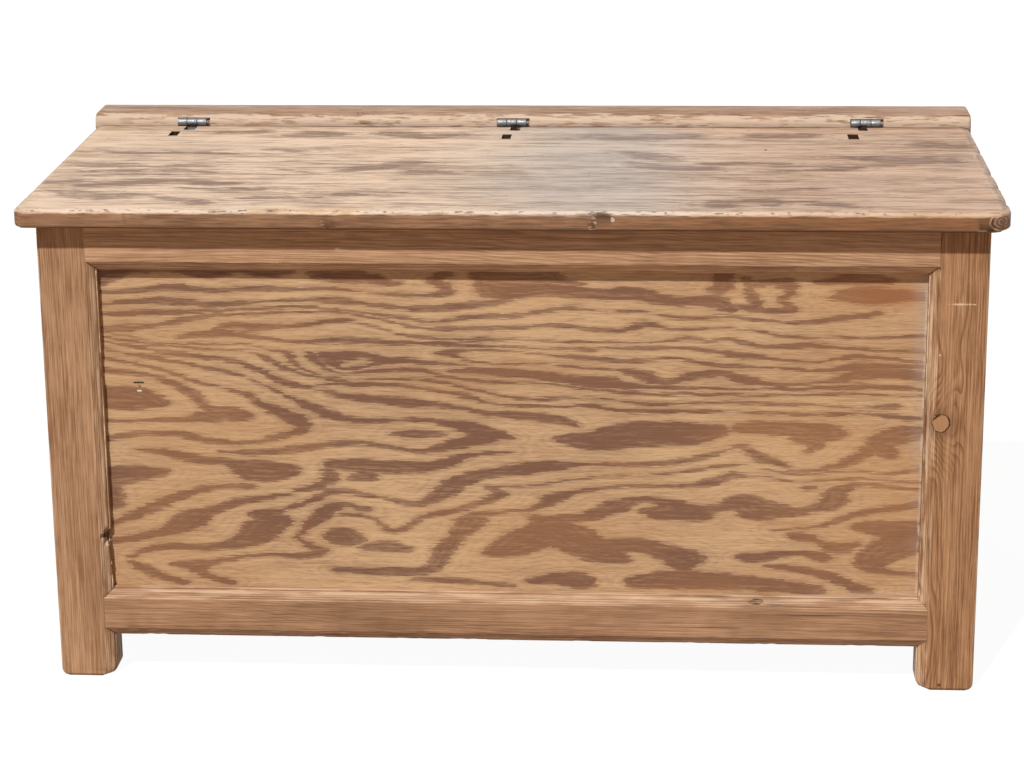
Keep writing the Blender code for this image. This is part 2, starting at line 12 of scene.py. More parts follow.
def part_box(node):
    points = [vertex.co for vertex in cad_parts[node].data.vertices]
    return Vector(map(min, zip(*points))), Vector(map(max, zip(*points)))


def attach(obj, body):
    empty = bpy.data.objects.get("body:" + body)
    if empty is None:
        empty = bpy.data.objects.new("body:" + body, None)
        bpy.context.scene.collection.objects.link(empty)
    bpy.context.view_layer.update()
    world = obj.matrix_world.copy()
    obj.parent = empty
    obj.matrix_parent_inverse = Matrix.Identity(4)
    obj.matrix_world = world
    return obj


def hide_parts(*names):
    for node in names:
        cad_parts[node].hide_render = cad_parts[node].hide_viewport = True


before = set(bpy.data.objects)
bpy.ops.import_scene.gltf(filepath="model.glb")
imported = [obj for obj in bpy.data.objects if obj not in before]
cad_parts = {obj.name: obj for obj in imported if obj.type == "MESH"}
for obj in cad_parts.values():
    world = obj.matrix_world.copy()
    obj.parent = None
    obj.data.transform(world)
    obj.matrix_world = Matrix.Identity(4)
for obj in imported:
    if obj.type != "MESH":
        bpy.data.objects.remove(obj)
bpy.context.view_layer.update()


# The studio: a pale floor, one window-like light from the upper left, a soft light from all round,
# and a camera with a long lens that looks slightly down on the chest.
class Socket:
    """A shader socket that Python sums can use; each sum adds its Math node to the same tree."""

    def __init__(self, tree, socket):
        self.tree = tree
        self.socket = socket

    def node(self, kind, settings=None, sockets=None, out=0):
        """Adds a node, sets it up, then fills or links its sockets, and gives one of its outputs."""
        made = self.tree.nodes.new(kind)
        for name, value in (settings or {}).items():
            setattr(made, name, value)
        for name, value in (sockets or {}).items():
            if isinstance(value, Socket):
                self.tree.links.new(value.socket, made.inputs[name])
            else:
                made.inputs[name].default_value = value
        return Socket(self.tree, made.outputs[out])

    def maths(self, operation, *others):
        return self.node("ShaderNodeMath", {"operation": operation}, dict(enumerate((self, *others))))

    def __add__(self, other):
        return self.maths("ADD", other)

    def __sub__(self, other):
        return self.maths("SUBTRACT", other)

    def __rsub__(self, other):
        return self.maths("MULTIPLY_ADD", -1.0, other)

    def __mul__(self, other):
        return self.maths("MULTIPLY", other)

    def __pow__(self, other):
        return self.maths("POWER", other)

    __radd__ = __add__
    __rmul__ = __mul__

    def rise(self, low, high, start=0.0, stop=1.0):
        """Goes smoothly from start to stop as this value passes from low to high."""
        ends = {"Value": self, "From Min": low, "From Max": high, "To Min": start, "To Max": stop}
        return self.node("ShaderNodeMapRange", {"interpolation_type": "SMOOTHSTEP"}, ends)


def tree_socket(tree, kind, out):
    """A first socket in a tree, from a node that takes no input."""
    return Socket(tree, tree.nodes.new(kind).outputs[out])


def seen_rays(tree):
    """1 for rays that show the studio to a viewer, straight on or mirrored, and 0 for light on the chest."""
    path = tree.nodes.new("ShaderNodeLightPath")
    camera = Socket(tree, path.outputs["Is Camera Ray"])
    mirrored = Socket(tree, path.outputs["Is Glossy Ray"])
    through = Socket(tree, path.outputs["Is Transmission Ray"])
    return camera.maths("MAXIMUM", mirrored).maths("MAXIMUM", through)


WHITE = (1, 1, 1, 1)
SKY_LIGHT = (1.0, 0.84, 0.745, 1.0)
SKY_STRENGTH = 0.262
FLOOR_SIZE = 40
FLOOR_GLOW = 0.955
FLOOR_WHITE = (0.075, 0.075, 0.075, 1.0)
FLOOR_BOUNCE = (0.42, 0.312, 0.244, 1.0)
KEY_COLOUR = (0.96, 0.985, 0.985)
KEY_STRENGTH = 4.155
KEY_ELEVATION = 52.5
KEY_AZIMUTH = 22.0
KEY_SPREAD = 2.2
LENS_LENGTH = 92.47
LENS_SHIFT = (0.0312, -0.0654)
CAMERA_PLACE = (0.1757, -3.0262, 1.2363)
CAMERA_HEADING = 4.239
CAMERA_DIP = 15.922
CAMERA_ROLL = -0.731

scene = bpy.context.scene
scene.view_settings.view_transform = "Standard"
studio = bpy.data.worlds.new("studio")
studio.use_nodes = True
scene.world = studio
tree = studio.node_tree
seen = seen_rays(tree)
white_wall = seen.node("ShaderNodeBackground", None, {"Color": WHITE, "Strength": 1.0})
sky = seen.node("ShaderNodeBackground", None, {"Color": SKY_LIGHT, "Strength": SKY_STRENGTH})
lit = seen.node("ShaderNodeMixShader", None, {0: seen, 1: sky, 2: white_wall})
tree.links.new(lit.socket, tree.nodes["World Output"].inputs["Surface"])

bpy.ops.object.select_all(action="DESELECT")
bpy.ops.mesh.primitive_plane_add(size=FLOOR_SIZE, location=(0, 0, 0))
floor = bpy.context.object
floor.name = "studio_floor"
paper = bpy.data.materials.new("studio_paper")
paper.use_nodes = True
tree = paper.node_tree
seen = seen_rays(tree)
glow = seen.node("ShaderNodeEmission", None, {"Color": WHITE, "Strength": FLOOR_GLOW})
shaded = seen.node("ShaderNodeBsdfDiffuse", None, {"Color": FLOOR_WHITE})
bright = seen.node("ShaderNodeAddShader", None, {0: glow, 1: shaded})
bounce = seen.node("ShaderNodeBsdfDiffuse", None, {"Color": FLOOR_BOUNCE})
paper_mix = seen.node("ShaderNodeMixShader", None, {0: seen, 1: bounce, 2: bright})
tree.links.new(paper_mix.socket, tree.nodes["Material Output"].inputs["Surface"])
floor.data.materials.append(paper)

key = bpy.data.lights.new("window_light", "SUN")
key.energy = KEY_STRENGTH
key.angle = math.radians(KEY_SPREAD)
key.color = KEY_COLOUR
key_stand = bpy.data.objects.new("window_light", key)
key_stand.rotation_euler = (math.radians(90 - KEY_ELEVATION), 0, -math.radians(KEY_AZIMUTH))
scene.collection.objects.link(key_stand)

lens = bpy.data.cameras.new("long_lens")
lens.lens = LENS_LENGTH
lens.sensor_width = 36
lens.shift_x, lens.shift_y = LENS_SHIFT
lens.clip_end = 100
camera = bpy.data.objects.new("long_lens", lens)
heading = Matrix.Rotation(math.radians(CAMERA_HEADING), 4, "Z")
dip = Matrix.Rotation(math.radians(90 - CAMERA_DIP), 4, "X")
roll = Matrix.Rotation(math.radians(CAMERA_ROLL), 4, "Z")
camera.matrix_world = Matrix.Translation(CAMERA_PLACE) @ (heading @ dip) @ roll
scene.collection.objects.link(camera)
scene.camera = camera


# Corner posts: fir planks on edge that run down to the floor as feet. A bead is worked along the edges
# next to the panels, a groove behind it takes the panel, and years of wear have rounded the outer corners.
def pick(piece):
    """Selects one piece alone and makes it the active one."""
    bpy.ops.object.select_all(action="DESELECT")
    piece.select_set(True)
    bpy.context.view_layer.objects.active = piece


def settle():
    """Moves the place, turn and size of what is selected into its mesh."""
    bpy.ops.object.transform_apply(location=True, rotation=True, scale=True)


def smooth(piece, angle=40):
    """Shades a piece smooth, apart from edges sharper than an angle in degrees."""
    pick(piece)
    bpy.ops.object.shade_smooth_by_angle(angle=math.radians(angle))


@contextmanager
def editing(piece, kind="VERT"):
    """Edit mode on one piece alone, with nothing selected in it, to choose points, edges or faces."""
    pick(piece)
    bpy.ops.object.mode_set(mode="EDIT")
    bpy.ops.mesh.select_mode(type="VERT")
    bpy.ops.mesh.select_all(action="DESELECT")
    bpy.ops.mesh.select_mode(type=kind)
    yield bmesh.from_edit_mesh(piece.data)
    bpy.ops.object.mode_set(mode="OBJECT")


def board(name, low, high):
    """A squared board between two corners, with its place in its mesh and room for marks of wear, dirt and
    painted shade.
    """
    bpy.ops.object.select_all(action="DESELECT")
    middle = [(a + b) / 2 for a, b in zip(low, high)]
    bpy.ops.mesh.primitive_cube_add(size=1, location=middle, scale=[b - a for a, b in zip(low, high)])
    piece = bpy.context.object
    piece.name = piece.data.name = name
    settle()
    for layer in ("wear", "grime_and_shade"):
        piece.data.attributes.new(layer, "FLOAT", "POINT")
    return piece


def scribe(piece, axis, places):
    """Lines across a piece where its section will be worked, square to one axis."""
    normal = [float(index == axis) for index in range(3)]
    with editing(piece):
        for place in places:
            bpy.ops.mesh.select_all(action="SELECT")
            bpy.ops.mesh.bisect(plane_co=[place * part for part in normal], plane_no=normal)


def nudge(piece, chosen, by):
    """Moves the points that the test chooses."""
    with editing(piece) as mesh:
        for vert in mesh.verts:
            vert.select = chosen(vert.co)
        mesh.select_flush(True)
        bpy.ops.transform.translate(value=by)


def plough(piece, chosen, by):
    """Runs a groove: pushes in the faces whose middle and normal the test chooses."""
    with editing(piece, "FACE") as mesh:
        for face in mesh.faces:
            face.select = chosen(face.calc_center_median(), face.normal)
        mesh.select_flush(True)
        bpy.ops.mesh.extrude_region_move(TRANSFORM_OT_translate={"value": by})


def round_edges(piece, chosen, width, steps):
    """Rounds the edges whose two ends the test chooses, and gives those ends."""
    corners = []
    with editing(piece, "EDGE") as mesh:
        for edge in mesh.edges:
            ends = [vert.co.copy() for vert in edge.verts]
            edge.select = chosen(*ends)
            if edge.select:
                corners.append(ends)
        bpy.ops.mesh.bevel(offset=width, segments=steps, profile=0.5)
    return corners


def off_line(place, start, end):
    """How far a place is from the stretch between two points."""
    along = end - start
    part = max(0.0, min(1.0, (place - start).dot(along) / along.length_squared))
    return (place - start - along * part).length


def ease(piece, chosen, width, steps=4, worn=1.0):
    """Rounds edges in the same way, and marks the round as worn."""
    corners = round_edges(piece, chosen, width, steps)
    wear = piece.data.attributes["wear"].data
    for vert in piece.data.vertices:
        if vert.select:
            away = min(off_line(vert.co, *ends) for ends in corners)
            rubbed = worn * max(0.0, min(1.0, 1.6 * (1 - away / width)))
            wear[vert.index].value = max(wear[vert.index].value, rubbed)


def split_edges(piece, chosen, cuts):
    """Divides the edges whose two ends the test chooses."""
    with editing(piece, "EDGE") as mesh:
        for edge in mesh.edges:
            edge.select = chosen(*(vert.co for vert in edge.verts))
        bpy.ops.mesh.subdivide(number_cuts=cuts)


def slice_along(piece, axis, spacing):
    """Divides the long edges, first coarsely and then finely, to give chips and ripples their points."""
    for share in (12, 1):
        with editing(piece, "EDGE") as mesh:
            longest = 0.0
            for edge in mesh.edges:
                run = edge.verts[1].co - edge.verts[0].co
                edge.select = abs(run[axis]) > 0.7 * run.length and run.length > spacing * 2
                if edge.select:
                    longest = max(longest, run.length)
            parts = round(longest / (spacing * share))
            if parts > 1:
                bpy.ops.mesh.subdivide(number_cuts=parts - 1)


def mark(piece, name, chosen, amount):
    """Marks wear, or dirt and painted shade, on the points that the test chooses."""
    with editing(piece) as mesh:
        layer = mesh.verts.layers.float[name]
        for vert in mesh.verts:
            if chosen(vert.co):
                vert[layer] = amount


def weather(piece, swell, chip, seed):
    """Lets the surface ripple by a hair, knocks small chips out of worn edges, and smooths what is round."""
    marks = piece.data.attributes["wear"].data
    shift = Vector((seed, seed * 0.7, seed * 1.3))
    moved = []
    for vert in piece.data.vertices:
        ripple = noise.noise(vert.co * 14 + shift) + 0.4 * noise.noise(vert.co * 55 + shift)
        nick = max(0.0, noise.noise(vert.co * 95 + shift) + 0.5 * noise.noise(vert.co * 30 - shift) - 0.12)
        moved.append(vert.co - vert.normal * (swell * ripple + chip * nick * marks[vert.index].value))
    for vert, place in zip(piece.data.vertices, moved):
        vert.co = place
    smooth(piece)


# Moulding along the frame stock, as (out from the flat face, depth below it, wear, dirt and painted shade): a
# shallow quirk, three reeds that lie deeper one after the other, a steep drop, and a narrow flat arris beside
# the panel. The last column darkens the quirk, the lines between the reeds and the foot of the drop: some
# dirt, and painted shade in these grooves.
BEAD = (
    (-0.0014, 0.0000, 0.0, 0.0),
    (-0.0005, 0.0001, 0.5, 0.0),
    (0.0000, 0.0004, 0.7, 0.0),
    (0.0002, 0.0012, 0.0, 0.10),
    (0.0009, 0.0012, 0.3, 0.0),
    (0.0018, 0.0016, 0.5, 0.0),
    (0.0025, 0.0022, 0.4, 0.0),
    (0.0028, 0.0028, 0.0, 0.15),
    (0.0034, 0.0028, 0.3, 0.0),
    (0.0043, 0.0034, 0.5, 0.0),
    (0.0046, 0.0041, 0.0, 0.15),
    (0.0053, 0.0042, 0.4, 0.0),
    (0.0066, 0.0051, 0.6, 0.0),
    (0.0078, 0.0062, 0.5, 0.0),
    (0.0086, 0.0077, 0.2, 0.0),
    (0.0088, 0.0086, 0.0, 0.4),
    (0.0092, 0.0083, 0.8, 0.0),
    (0.0101, 0.0084, 1.0, 0.0),
    (0.0105, 0.0110, 0.4, 0.0),
)
BEAD_WIDTH = 0.0105
STOCK = 0.038
GROOVE_NEAR = 0.0157
GROOVE_FAR = 0.0223
GROOVE_DEEP = 0.010
HAIR = 0.00005


def same(a, b):
    return abs(a - b) < HAIR


def lies_in(*planes):
    """A test for edges that lie in every one of some planes, each as (axis, place on it)."""
    return lambda a, b: all(same(a[axis], place) and same(b[axis], place) for axis, place in planes)


def bead(piece, across, edge, outward, deep, face, inward):
    """Works the bead along one edge: scribes its lines, then sinks each by its depth below the face."""
    flat = edge - outward * BEAD_WIDTH
    scribe(piece, across, [flat + outward * out for out, *_ in BEAD[:-1]])
    for out, depth, wear, dirt in BEAD:
        line = flat + outward * out

        def on_line(co):
            return same(co[across], line) and same(co[deep], face)

        # The dirt amount darkens the grooves of the moulding: some dirt, and painted shade in the grooves.
        for name, amount in (("wear", wear), ("grime_and_shade", dirt)):
            mark(piece, name, on_line, amount)
        sink = [0.0, 0.0, 0.0]
        sink[deep] = inward * depth
        nudge(piece, on_line, sink)


POST_HIGH = 0.5405
POST_WIDE = 0.0645
HALF_WIDTH = 0.525
FRONT = -0.234
BACK = 0.256
RAIL_FOOT = 0.049
PANEL_LOW = 0.108
PANEL_HIGH = 0.487
EDGE_LINE = 0.001
OUTER_ROUND = 0.0024
INNER_ROUND = 0.0012
OUTER_FOOT = 0.008
INNER_FOOT = 0.0104
FOOT_REACH = 0.022
FOOT_TOP = 0.013
# Height of the dark band painted along the bottom of each foot: dirt, and painted contact shade at the floor.
FOOT_DIRT_AND_SHADE = 0.0022
SLICE = 0.004
BEAD_RUBBED = 1.8


def post_board(name, side, face):
    """One post: side is -1 at the left and 1 at the right, face is its long outer face."""
    inward = 1 if face == FRONT else -1
    outer = side * HALF_WIDTH
    inner = outer - side * POST_WIDE
    behind = face + inward * STOCK
    low = (min(outer, inner), min(face, behind), 0)
    post = board(name, low, (max(outer, inner), max(face, behind), POST_HIGH))
    if face == FRONT:
        bead(post, 0, inner, -side, 1, face, inward)
        for rubbed in post.data.attributes["wear"].data:
            rubbed.value *= BEAD_RUBBED
    bead(post, 1, behind, inward, 0, outer, -side)
    lines = [RAIL_FOOT, RAIL_FOOT + EDGE_LINE, RAIL_FOOT + BEAD_WIDTH]
    lines += [PANEL_LOW - BEAD_WIDTH, PANEL_LOW - EDGE_LINE, PANEL_LOW]
    lines += [PANEL_HIGH, PANEL_HIGH + EDGE_LINE, PANEL_HIGH + BEAD_WIDTH]
    scribe(post, 2, lines)

    def covered(co):
        mitre = min(abs(co.x - inner), abs(co.y - behind), BEAD_WIDTH) - 2 * HAIR
        joints = ((RAIL_FOOT, PANEL_LOW), (PANEL_HIGH, 1.0))
        return any(start + mitre < co.z < stop - mitre for start, stop in joints)

    for layer in ("wear", "grime_and_shade"):
        mark(post, layer, covered, 0.0)
    scribe(post, 1, [face + inward * GROOVE_NEAR, face + inward * GROOVE_FAR])
    scribe(post, 0, [outer - side * GROOVE_NEAR, outer - side * GROOVE_FAR])

    def grooved(facing, depth, height):
        return facing > 0.9 and GROOVE_NEAR < depth < GROOVE_FAR and PANEL_LOW < height < PANEL_HIGH

    def long_groove(middle, normal):
        return grooved(-side * normal.x, (middle.y - face) * inward, middle.z)

    def end_groove(middle, normal):
        return grooved(inward * normal.y, (outer - middle.x) * side, middle.z)

    plough(post, long_groove, (side * GROOVE_DEEP, 0, 0))
    plough(post, end_groove, (0, -inward * GROOVE_DEEP, 0))
    ease(post, lies_in((0, outer), (1, face)), OUTER_ROUND)
    ease(post, lies_in((0, inner), (1, behind)), INNER_ROUND, 2)
    slice_along(post, 2, SLICE)
    split_edges(post, lambda a, b: abs(a.z - b.z) > SLICE / 2 and max(a.z, b.z) < FOOT_TOP, 3)
    for vert in post.data.vertices:
        up = max(0.0, vert.co.z)
        out = (vert.co.x - outer) * -side
        corners = (
            (OUTER_FOOT, 1 - out / FOOT_REACH, -side),
            (INNER_FOOT, (out - POST_WIDE) / FOOT_REACH + 1, side),
        )
        for radius, share, way in corners:
            if up < radius and share > 0:
                inset = radius - math.sqrt(radius * radius - (radius - up) ** 2)
                vert.co.x += inset * share * way
    return post


def new_finish(name):
    """A fresh material and the place on the piece that its pattern is drawn from."""
    material = bpy.data.materials.new(name)
    material.use_nodes = True
    return material, tree_socket(material.node_tree, "ShaderNodeTexCoord", "Object")


def scaled(place, scale, location=(0, 0, 0)):
    return place.node("ShaderNodeMapping", None, {"Vector": place, "Scale": scale, "Location": location})


def grain_scale(along):
    """A function that gives a noise's scale on each axis, from one across the grain and one along it."""
    return lambda across, length: [length if index == along else across for index in range(3)]


def cloud(place, scale, location=(0, 0, 0), detail=2.0, rough=0.5):
    """Soft noise from 0 to 1, stretched by a scale for each axis."""
    sockets = {"Vector": scaled(place, scale, location), "Scale": 1.0, "Detail": detail, "Roughness": rough}
    return place.node("ShaderNodeTexNoise", None, sockets)


def streaks(place, scale, location=(0, 0, 0), detail=3.0, rough=0.6):
    """Noise spread over the whole range, from -0.5 to 0.5."""
    return cloud(place, scale, location, detail, rough).rise(0.34, 0.66, -0.5, 0.5)


def tint(factor, first, second):
    """One colour passing into another."""
    ends = {0: factor}
    for index, colour in ((6, first), (7, second)):
        ends[index] = colour if isinstance(colour, Socket) else (*colour, 1.0)
    settings = {"data_type": "RGBA", "clamp_factor": True}
    return factor.node("ShaderNodeMix", settings, ends, out=2)


def deeper(colour, share):
    """A plain colour, darkened to a share of itself."""
    return [share * part for part in colour]


def marks_of(place, name):
    return place.node("ShaderNodeAttribute", {"attribute_name": name}, None, out="Fac")


def spot_distance(place, centre, reach):
    """1 on an ellipsoid round a spot, less inside it, more outside; reach is its half size on each axis."""
    scale = [1 / size for size in reach]
    moved = scaled(place, scale, [-at / size for at, size in zip(centre, reach)])
    return moved.node("ShaderNodeVectorMath", {"operation": "LENGTH"}, {0: moved}, out="Value")


def strip_mask(value, middle, half, soft):
    """1 where a value lies within a strip and 0 beyond its soft edges."""
    return (value - middle).maths("ABSOLUTE").rise(half, half + soft, 1.0, 0.0)


def set_finish(material, place, colour, roughness, height, depth, gloss=0.12):
    """Sends a finish's colour, roughness and raised pattern to its shader."""
    tree = material.node_tree
    shader = tree.nodes["Principled BSDF"]
    shader.inputs["Specular IOR Level"].default_value = gloss
    bumps = place.node("ShaderNodeBump", None, {"Height": height, "Strength": 1.0, "Distance": depth})
    for name, value in (("Base Color", colour), ("Roughness", roughness), ("Normal", bumps)):
        tree.links.new(value.socket, shader.inputs[name])


WORN_CREAM = (0.70, 0.50, 0.335)
# Near-black brown for dirt, cracks and nicks, also used for painted shade in the bead's grooves, along the
# feet and inside the old mortises.
DIRT_AND_SHADE_BROWN = (0.050, 0.022, 0.010)
KNOT_HEART = (0.42, 0.225, 0.115)
KNOT_RIM = (0.026, 0.012, 0.007)
RINGS_PER_METRE = 265.0
FIR_RELIEF = 0.0004


def frame_fir(name, along, pale, dark, rings, lined, seed, knots=(), scars=()):
    """Stripped fir, its grain on one axis, with growth rings square to a given way and as dark as lined."""
    material, place = new_finish(name)
    far = (seed * 3.1, seed * 1.7, seed * 2.3)
    run = grain_scale(along)
    wander = cloud(place, run(15, 2.6), far, 3.0)
    ring = place.node("ShaderNodeVectorMath", {"operation": "DOT_PRODUCT"}, {0: place, 1: rings}, out="Value")
    ring = ring * RINGS_PER_METRE + wander * 15.0
    for centre, size in knots:
        ring = ring + spot_distance(place, centre, run(size * 3.2, size * 7.5)).rise(0.0, 1.0, 6.6, 0.0)
    phase = ring.maths("FRACT")
    late = phase.rise(0.30, 0.88) * phase.rise(0.91, 1.0, 1.0, 0.0)
    bands = cloud(place, run(40, 1.6), far, 2.0)
    hairs = streaks(place, run(250, 4), far)
    fibres = streaks(place, run(640, 11), far)
    pores = streaks(place, run(1100, 26), far)
    mottle = streaks(place, run(30, 12), far)
    blots = streaks(place, run(130, 60), far)
    stains = cloud(place, run(11, 4), far, 3.0)
    shade = 0.48 + 0.20 * hairs + 0.50 * fibres + 0.42 * pores + 0.20 * mottle + 0.10 * blots
    shade = shade + 0.7 * (bands - 0.5) + lined * late * bands.rise(0.34, 0.62)
    colour = tint(shade, pale, dark)
    colour = tint((late ** 3.0) * bands.rise(0.44, 0.60) * (lined * 0.8), colour, deeper(dark, 0.50))
    cracks = cloud(place, run(260, 3.2), far, 1.0).rise(0.74, 0.77) * stains.rise(0.40, 0.60)
    colour = tint(cracks * 0.7, colour, DIRT_AND_SHADE_BROWN)
    colour = tint(stains.rise(0.50, 0.78) * 0.45, colour, deeper(dark, 0.74))
    # These marks paint dirt and dark open mitres, and painted shade in the bead's grooves and along the
    # bottom of the feet.
    colour = tint(marks_of(place, "grime_and_shade") * (0.35 + 0.6 * stains), colour, DIRT_AND_SHADE_BROWN)
    rubbed = marks_of(place, "wear") * cloud(place, run(190, 20), far, 3.0).rise(0.38, 0.62)
    colour = tint(rubbed * 0.70, colour, WORN_CREAM)
    height = hairs * -0.4 + fibres * 0.25 - cracks * 1.2 - late * (0.6 * lined)
    for centre, size in knots:
        gnarl = cloud(place, (95, 95, 95), far, 4.0) - 0.5
        away = spot_distance(place, centre, (size, size, size)) + gnarl * 0.9
        colour = tint(away.rise(1.1, 2.4, 0.40, 0.0), colour, deeper(dark, 0.62))
        colour = tint(away.rise(0.85, 1.0, 0.80, 0.0), colour, KNOT_HEART)
        edge = strip_mask(away, 0.98, 0.02, 0.10) * (gnarl + 0.5).rise(0.36, 0.56, 0.30, 1.0)
        colour = tint(edge * 0.95, colour, KNOT_RIM)
        height = height - edge * 3.0
    for centre, reach, tone in scars:
        away = spot_distance(place, centre, reach) + streaks(place, run(420, 120), far) * 0.8
        colour = tint(away.rise(0.60, 1.10, 0.80, 0.0), colour, tone)
    set_finish(material, place, colour, 0.46 + 0.18 * hairs + 0.10 * mottle, height, FIR_RELIEF)
    return material


def knock(piece, chips):
    """Knocks out chips, each as (centre, reach, push, dirt, rim): torn inside, with a light broken rim."""
    wear = piece.data.attributes["wear"].data
    grime_and_shade = piece.data.attributes["grime_and_shade"].data
    for centre, reach, push, dirt, rim in chips:
        for vert in piece.data.vertices:
            off = Vector([(a - b) / size for a, b, size in zip(vert.co, centre, reach)]).length
            off += 0.45 * noise.noise(vert.co * 190)
            if off < 1.0:
                bite = min(1.0, 2.2 * (1 - off)) * (0.8 + 0.6 * noise.noise(vert.co * 330))
                vert.co += Vector(push) * bite
                grime_and_shade[vert.index].value = max(grime_and_shade[vert.index].value, dirt * min(1.0, 1.5 * bite))
                if off > 0.62:
                    wear[vert.index].value = max(wear[vert.index].value, rim)


def fit(piece, node, body, finish):
    """Gives a piece its finish and puts it in the place of a node, to move with a body."""
    piece.data.materials.append(finish)
    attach(piece, body)
    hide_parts(node)


# Each post's side, face, pale and dark tone, how dark its rings are, and a seed
POSTS = {
    "front_post_left": (-1, FRONT, (0.505, 0.298, 0.169), (0.226, 0.111, 0.053), 0.12, 1.0),
    "front_post_right": (1, FRONT, (0.480, 0.264, 0.138), (0.208, 0.093, 0.040), 0.40, 2.0),
    "back_post_left": (-1, BACK, (0.50, 0.275, 0.145), (0.26, 0.120, 0.056), 0.25, 3.0),
    "back_post_right": (1, BACK, (0.50, 0.270, 0.140), (0.25, 0.115, 0.053), 0.30, 4.0),
}
POST_RINGS = (0.9, 0.45, 0.02)
POST_KNOTS = {"front_post_right": (((0.479, -0.234, 0.3185), 0.0100),)}
POST_CHIPS = {
    "front_post_left": (
        ((-0.4635, -0.2255, 0.170), (0.0080, 0.010, 0.0105), (-0.0032, 0.0060, 0.0), 1.0, 0.8),
        ((-0.4605, -0.2235, 0.153), (0.0028, 0.007, 0.0150), (-0.0018, 0.0020, 0.0), 0.2, 0.4),
        ((-0.4605, -0.2235, 0.128), (0.0024, 0.006, 0.0110), (-0.0014, 0.0015, 0.0), 0.1, 0.4),
        ((-0.4605, -0.2235, 0.372), (0.0022, 0.006, 0.0200), (-0.0010, 0.0010, 0.0), 0.0, 0.4),
    ),
    "front_post_right": (
        ((0.4615, -0.2255, 0.118), (0.0050, 0.008, 0.0080), (0.0012, 0.0020, 0.0), 0.2, 0.7),
    ),
}
# Marks on the face of the posts, as (centre, reach, tone)
POST_SCARS = {
    "front_post_left": (
        ((-0.4640, -0.2255, 0.1715), (0.0056, 0.0085, 0.0082), DIRT_AND_SHADE_BROWN),
    ),
    "front_post_right": (
        ((0.487, -0.2345, 0.0060), (0.0018, 0.0020, 0.0020), DIRT_AND_SHADE_BROWN),
        ((0.474, -0.2345, 0.3285), (0.0050, 0.0020, 0.0014), DIRT_AND_SHADE_BROWN),
        ((0.4745, -0.2345, 0.3980), (0.0022, 0.0020, 0.0017), WORN_CREAM),
        ((0.4712, -0.2345, 0.4960), (0.0016, 0.0020, 0.0020), DIRT_AND_SHADE_BROWN),
        ((0.4950, -0.2345, 0.4560), (0.0170, 0.0030, 0.0011), WORN_CREAM),
    ),
}
FRAME_RIPPLE = 0.00012
FRAME_NICK = 0.0011
for node, (side, face, pale, dark, lined, seed) in POSTS.items():
    post = post_board(f"fir_{node}", side, face)
    # Each foot is painted dark along its bottom: dirt, and painted contact shade at the floor.
    mark(post, "grime_and_shade", lambda co: co.z < FOOT_DIRT_AND_SHADE, 1.0)
    knock(post, POST_CHIPS.get(node, ()))
    weather(post, FRAME_RIPPLE, FRAME_NICK, seed)
    knots, scars = POST_KNOTS.get(node, ()), POST_SCARS.get(node, ())
    fir = frame_fir(f"fir_{node}", 2, pale, dark, POST_RINGS, lined, seed, knots, scars)
    fit(post, node, "carcass", fir)


# Rails: eight fir rails tenoned between the posts, their moulding meeting the posts' moulding in a mitre and
# the rest of the shoulder scribed over it. The bottom rails of the front and the ends are moulded on both
# edges, the back is left plain, and some mitres have opened.
def scribe_depth(depth):
    """How far the end of a rail stands back at this depth, to lie against the moulding of the post."""
    reach = 0.0
    for (out, below, *_), (next_out, next_below, *_) in zip(BEAD[2:], BEAD[3:]):
        if depth >= next_below:
            reach = max(reach, next_out)
        elif depth > below:
            part = (depth - below) / (next_below - below)
            reach = max(reach, out + part * (next_out - out))
    return reach


def set_on_side(piece, place, turn):
    """Takes a piece from where it was made to its side of the chest."""
    piece.location = place
    piece.rotation_euler.z = turn
    pick(piece)
    settle()


JOINT = 0.0001
SHOULDER_LINES = (0.0025, 0.006, 0.011)
LAST_LINE = 0.003
GAP_DEPTH = 0.002
OPEN_GAP = 0.0005
FACE_SKIN = 0.0003


def rail_board(name, opening, low, high, bottom, beaded, gaps):
    """One rail, made along x with its face at y = 0; gaps are the open mitres at its two ends."""
    half = opening - JOINT + (BEAD_WIDTH if beaded else 0.0)
    rail = board(name, (-half, 0, low), (half, STOCK, high))
    if beaded and bottom:
        bead(rail, 2, high, 1, 1, 0.0, 1)
    if beaded:
        bead(rail, 2, low, -1, 1, 0.0, 1)
    scribe(rail, 1, [*SHOULDER_LINES, GROOVE_NEAR, GROOVE_FAR])
    if beaded and bottom:
        scribe(rail, 2, [high - BEAD_WIDTH - LAST_LINE])
    way = 1 if bottom else -1

    def groove(middle, normal):
        return way * normal.z > 0.9 and GROOVE_NEAR < middle.y < GROOVE_FAR

    plough(rail, groove, (0, 0, -way * GROOVE_DEEP))

    def gap_at(co):
        return gaps[0 if co.x < 0 else 1]

    def shoulder(co):
        return half - scribe_depth(co.y) - gap_at(co) * min(1.0, co.y / GAP_DEPTH)

    def at_end(co):
        return same(abs(co.x), shoulder(co))

    def in_open_mitre(co):
        return co.y > FACE_SKIN and at_end(co) and gap_at(co) > OPEN_GAP

    if beaded:
        with editing(rail) as mesh:
            for vert in mesh.verts:
                if same(abs(vert.co.x), half):
                    vert.co.x = math.copysign(shoulder(vert.co), vert.co.x)
    slice_along(rail, 0, SLICE)
    if beaded:
        split_edges(rail, lambda a, b: at_end(a) != at_end(b), 2)
        mark(rail, "grime_and_shade", in_open_mitre, 1.6)
        mark(rail, "wear", in_open_mitre, 0.0)
    return rail


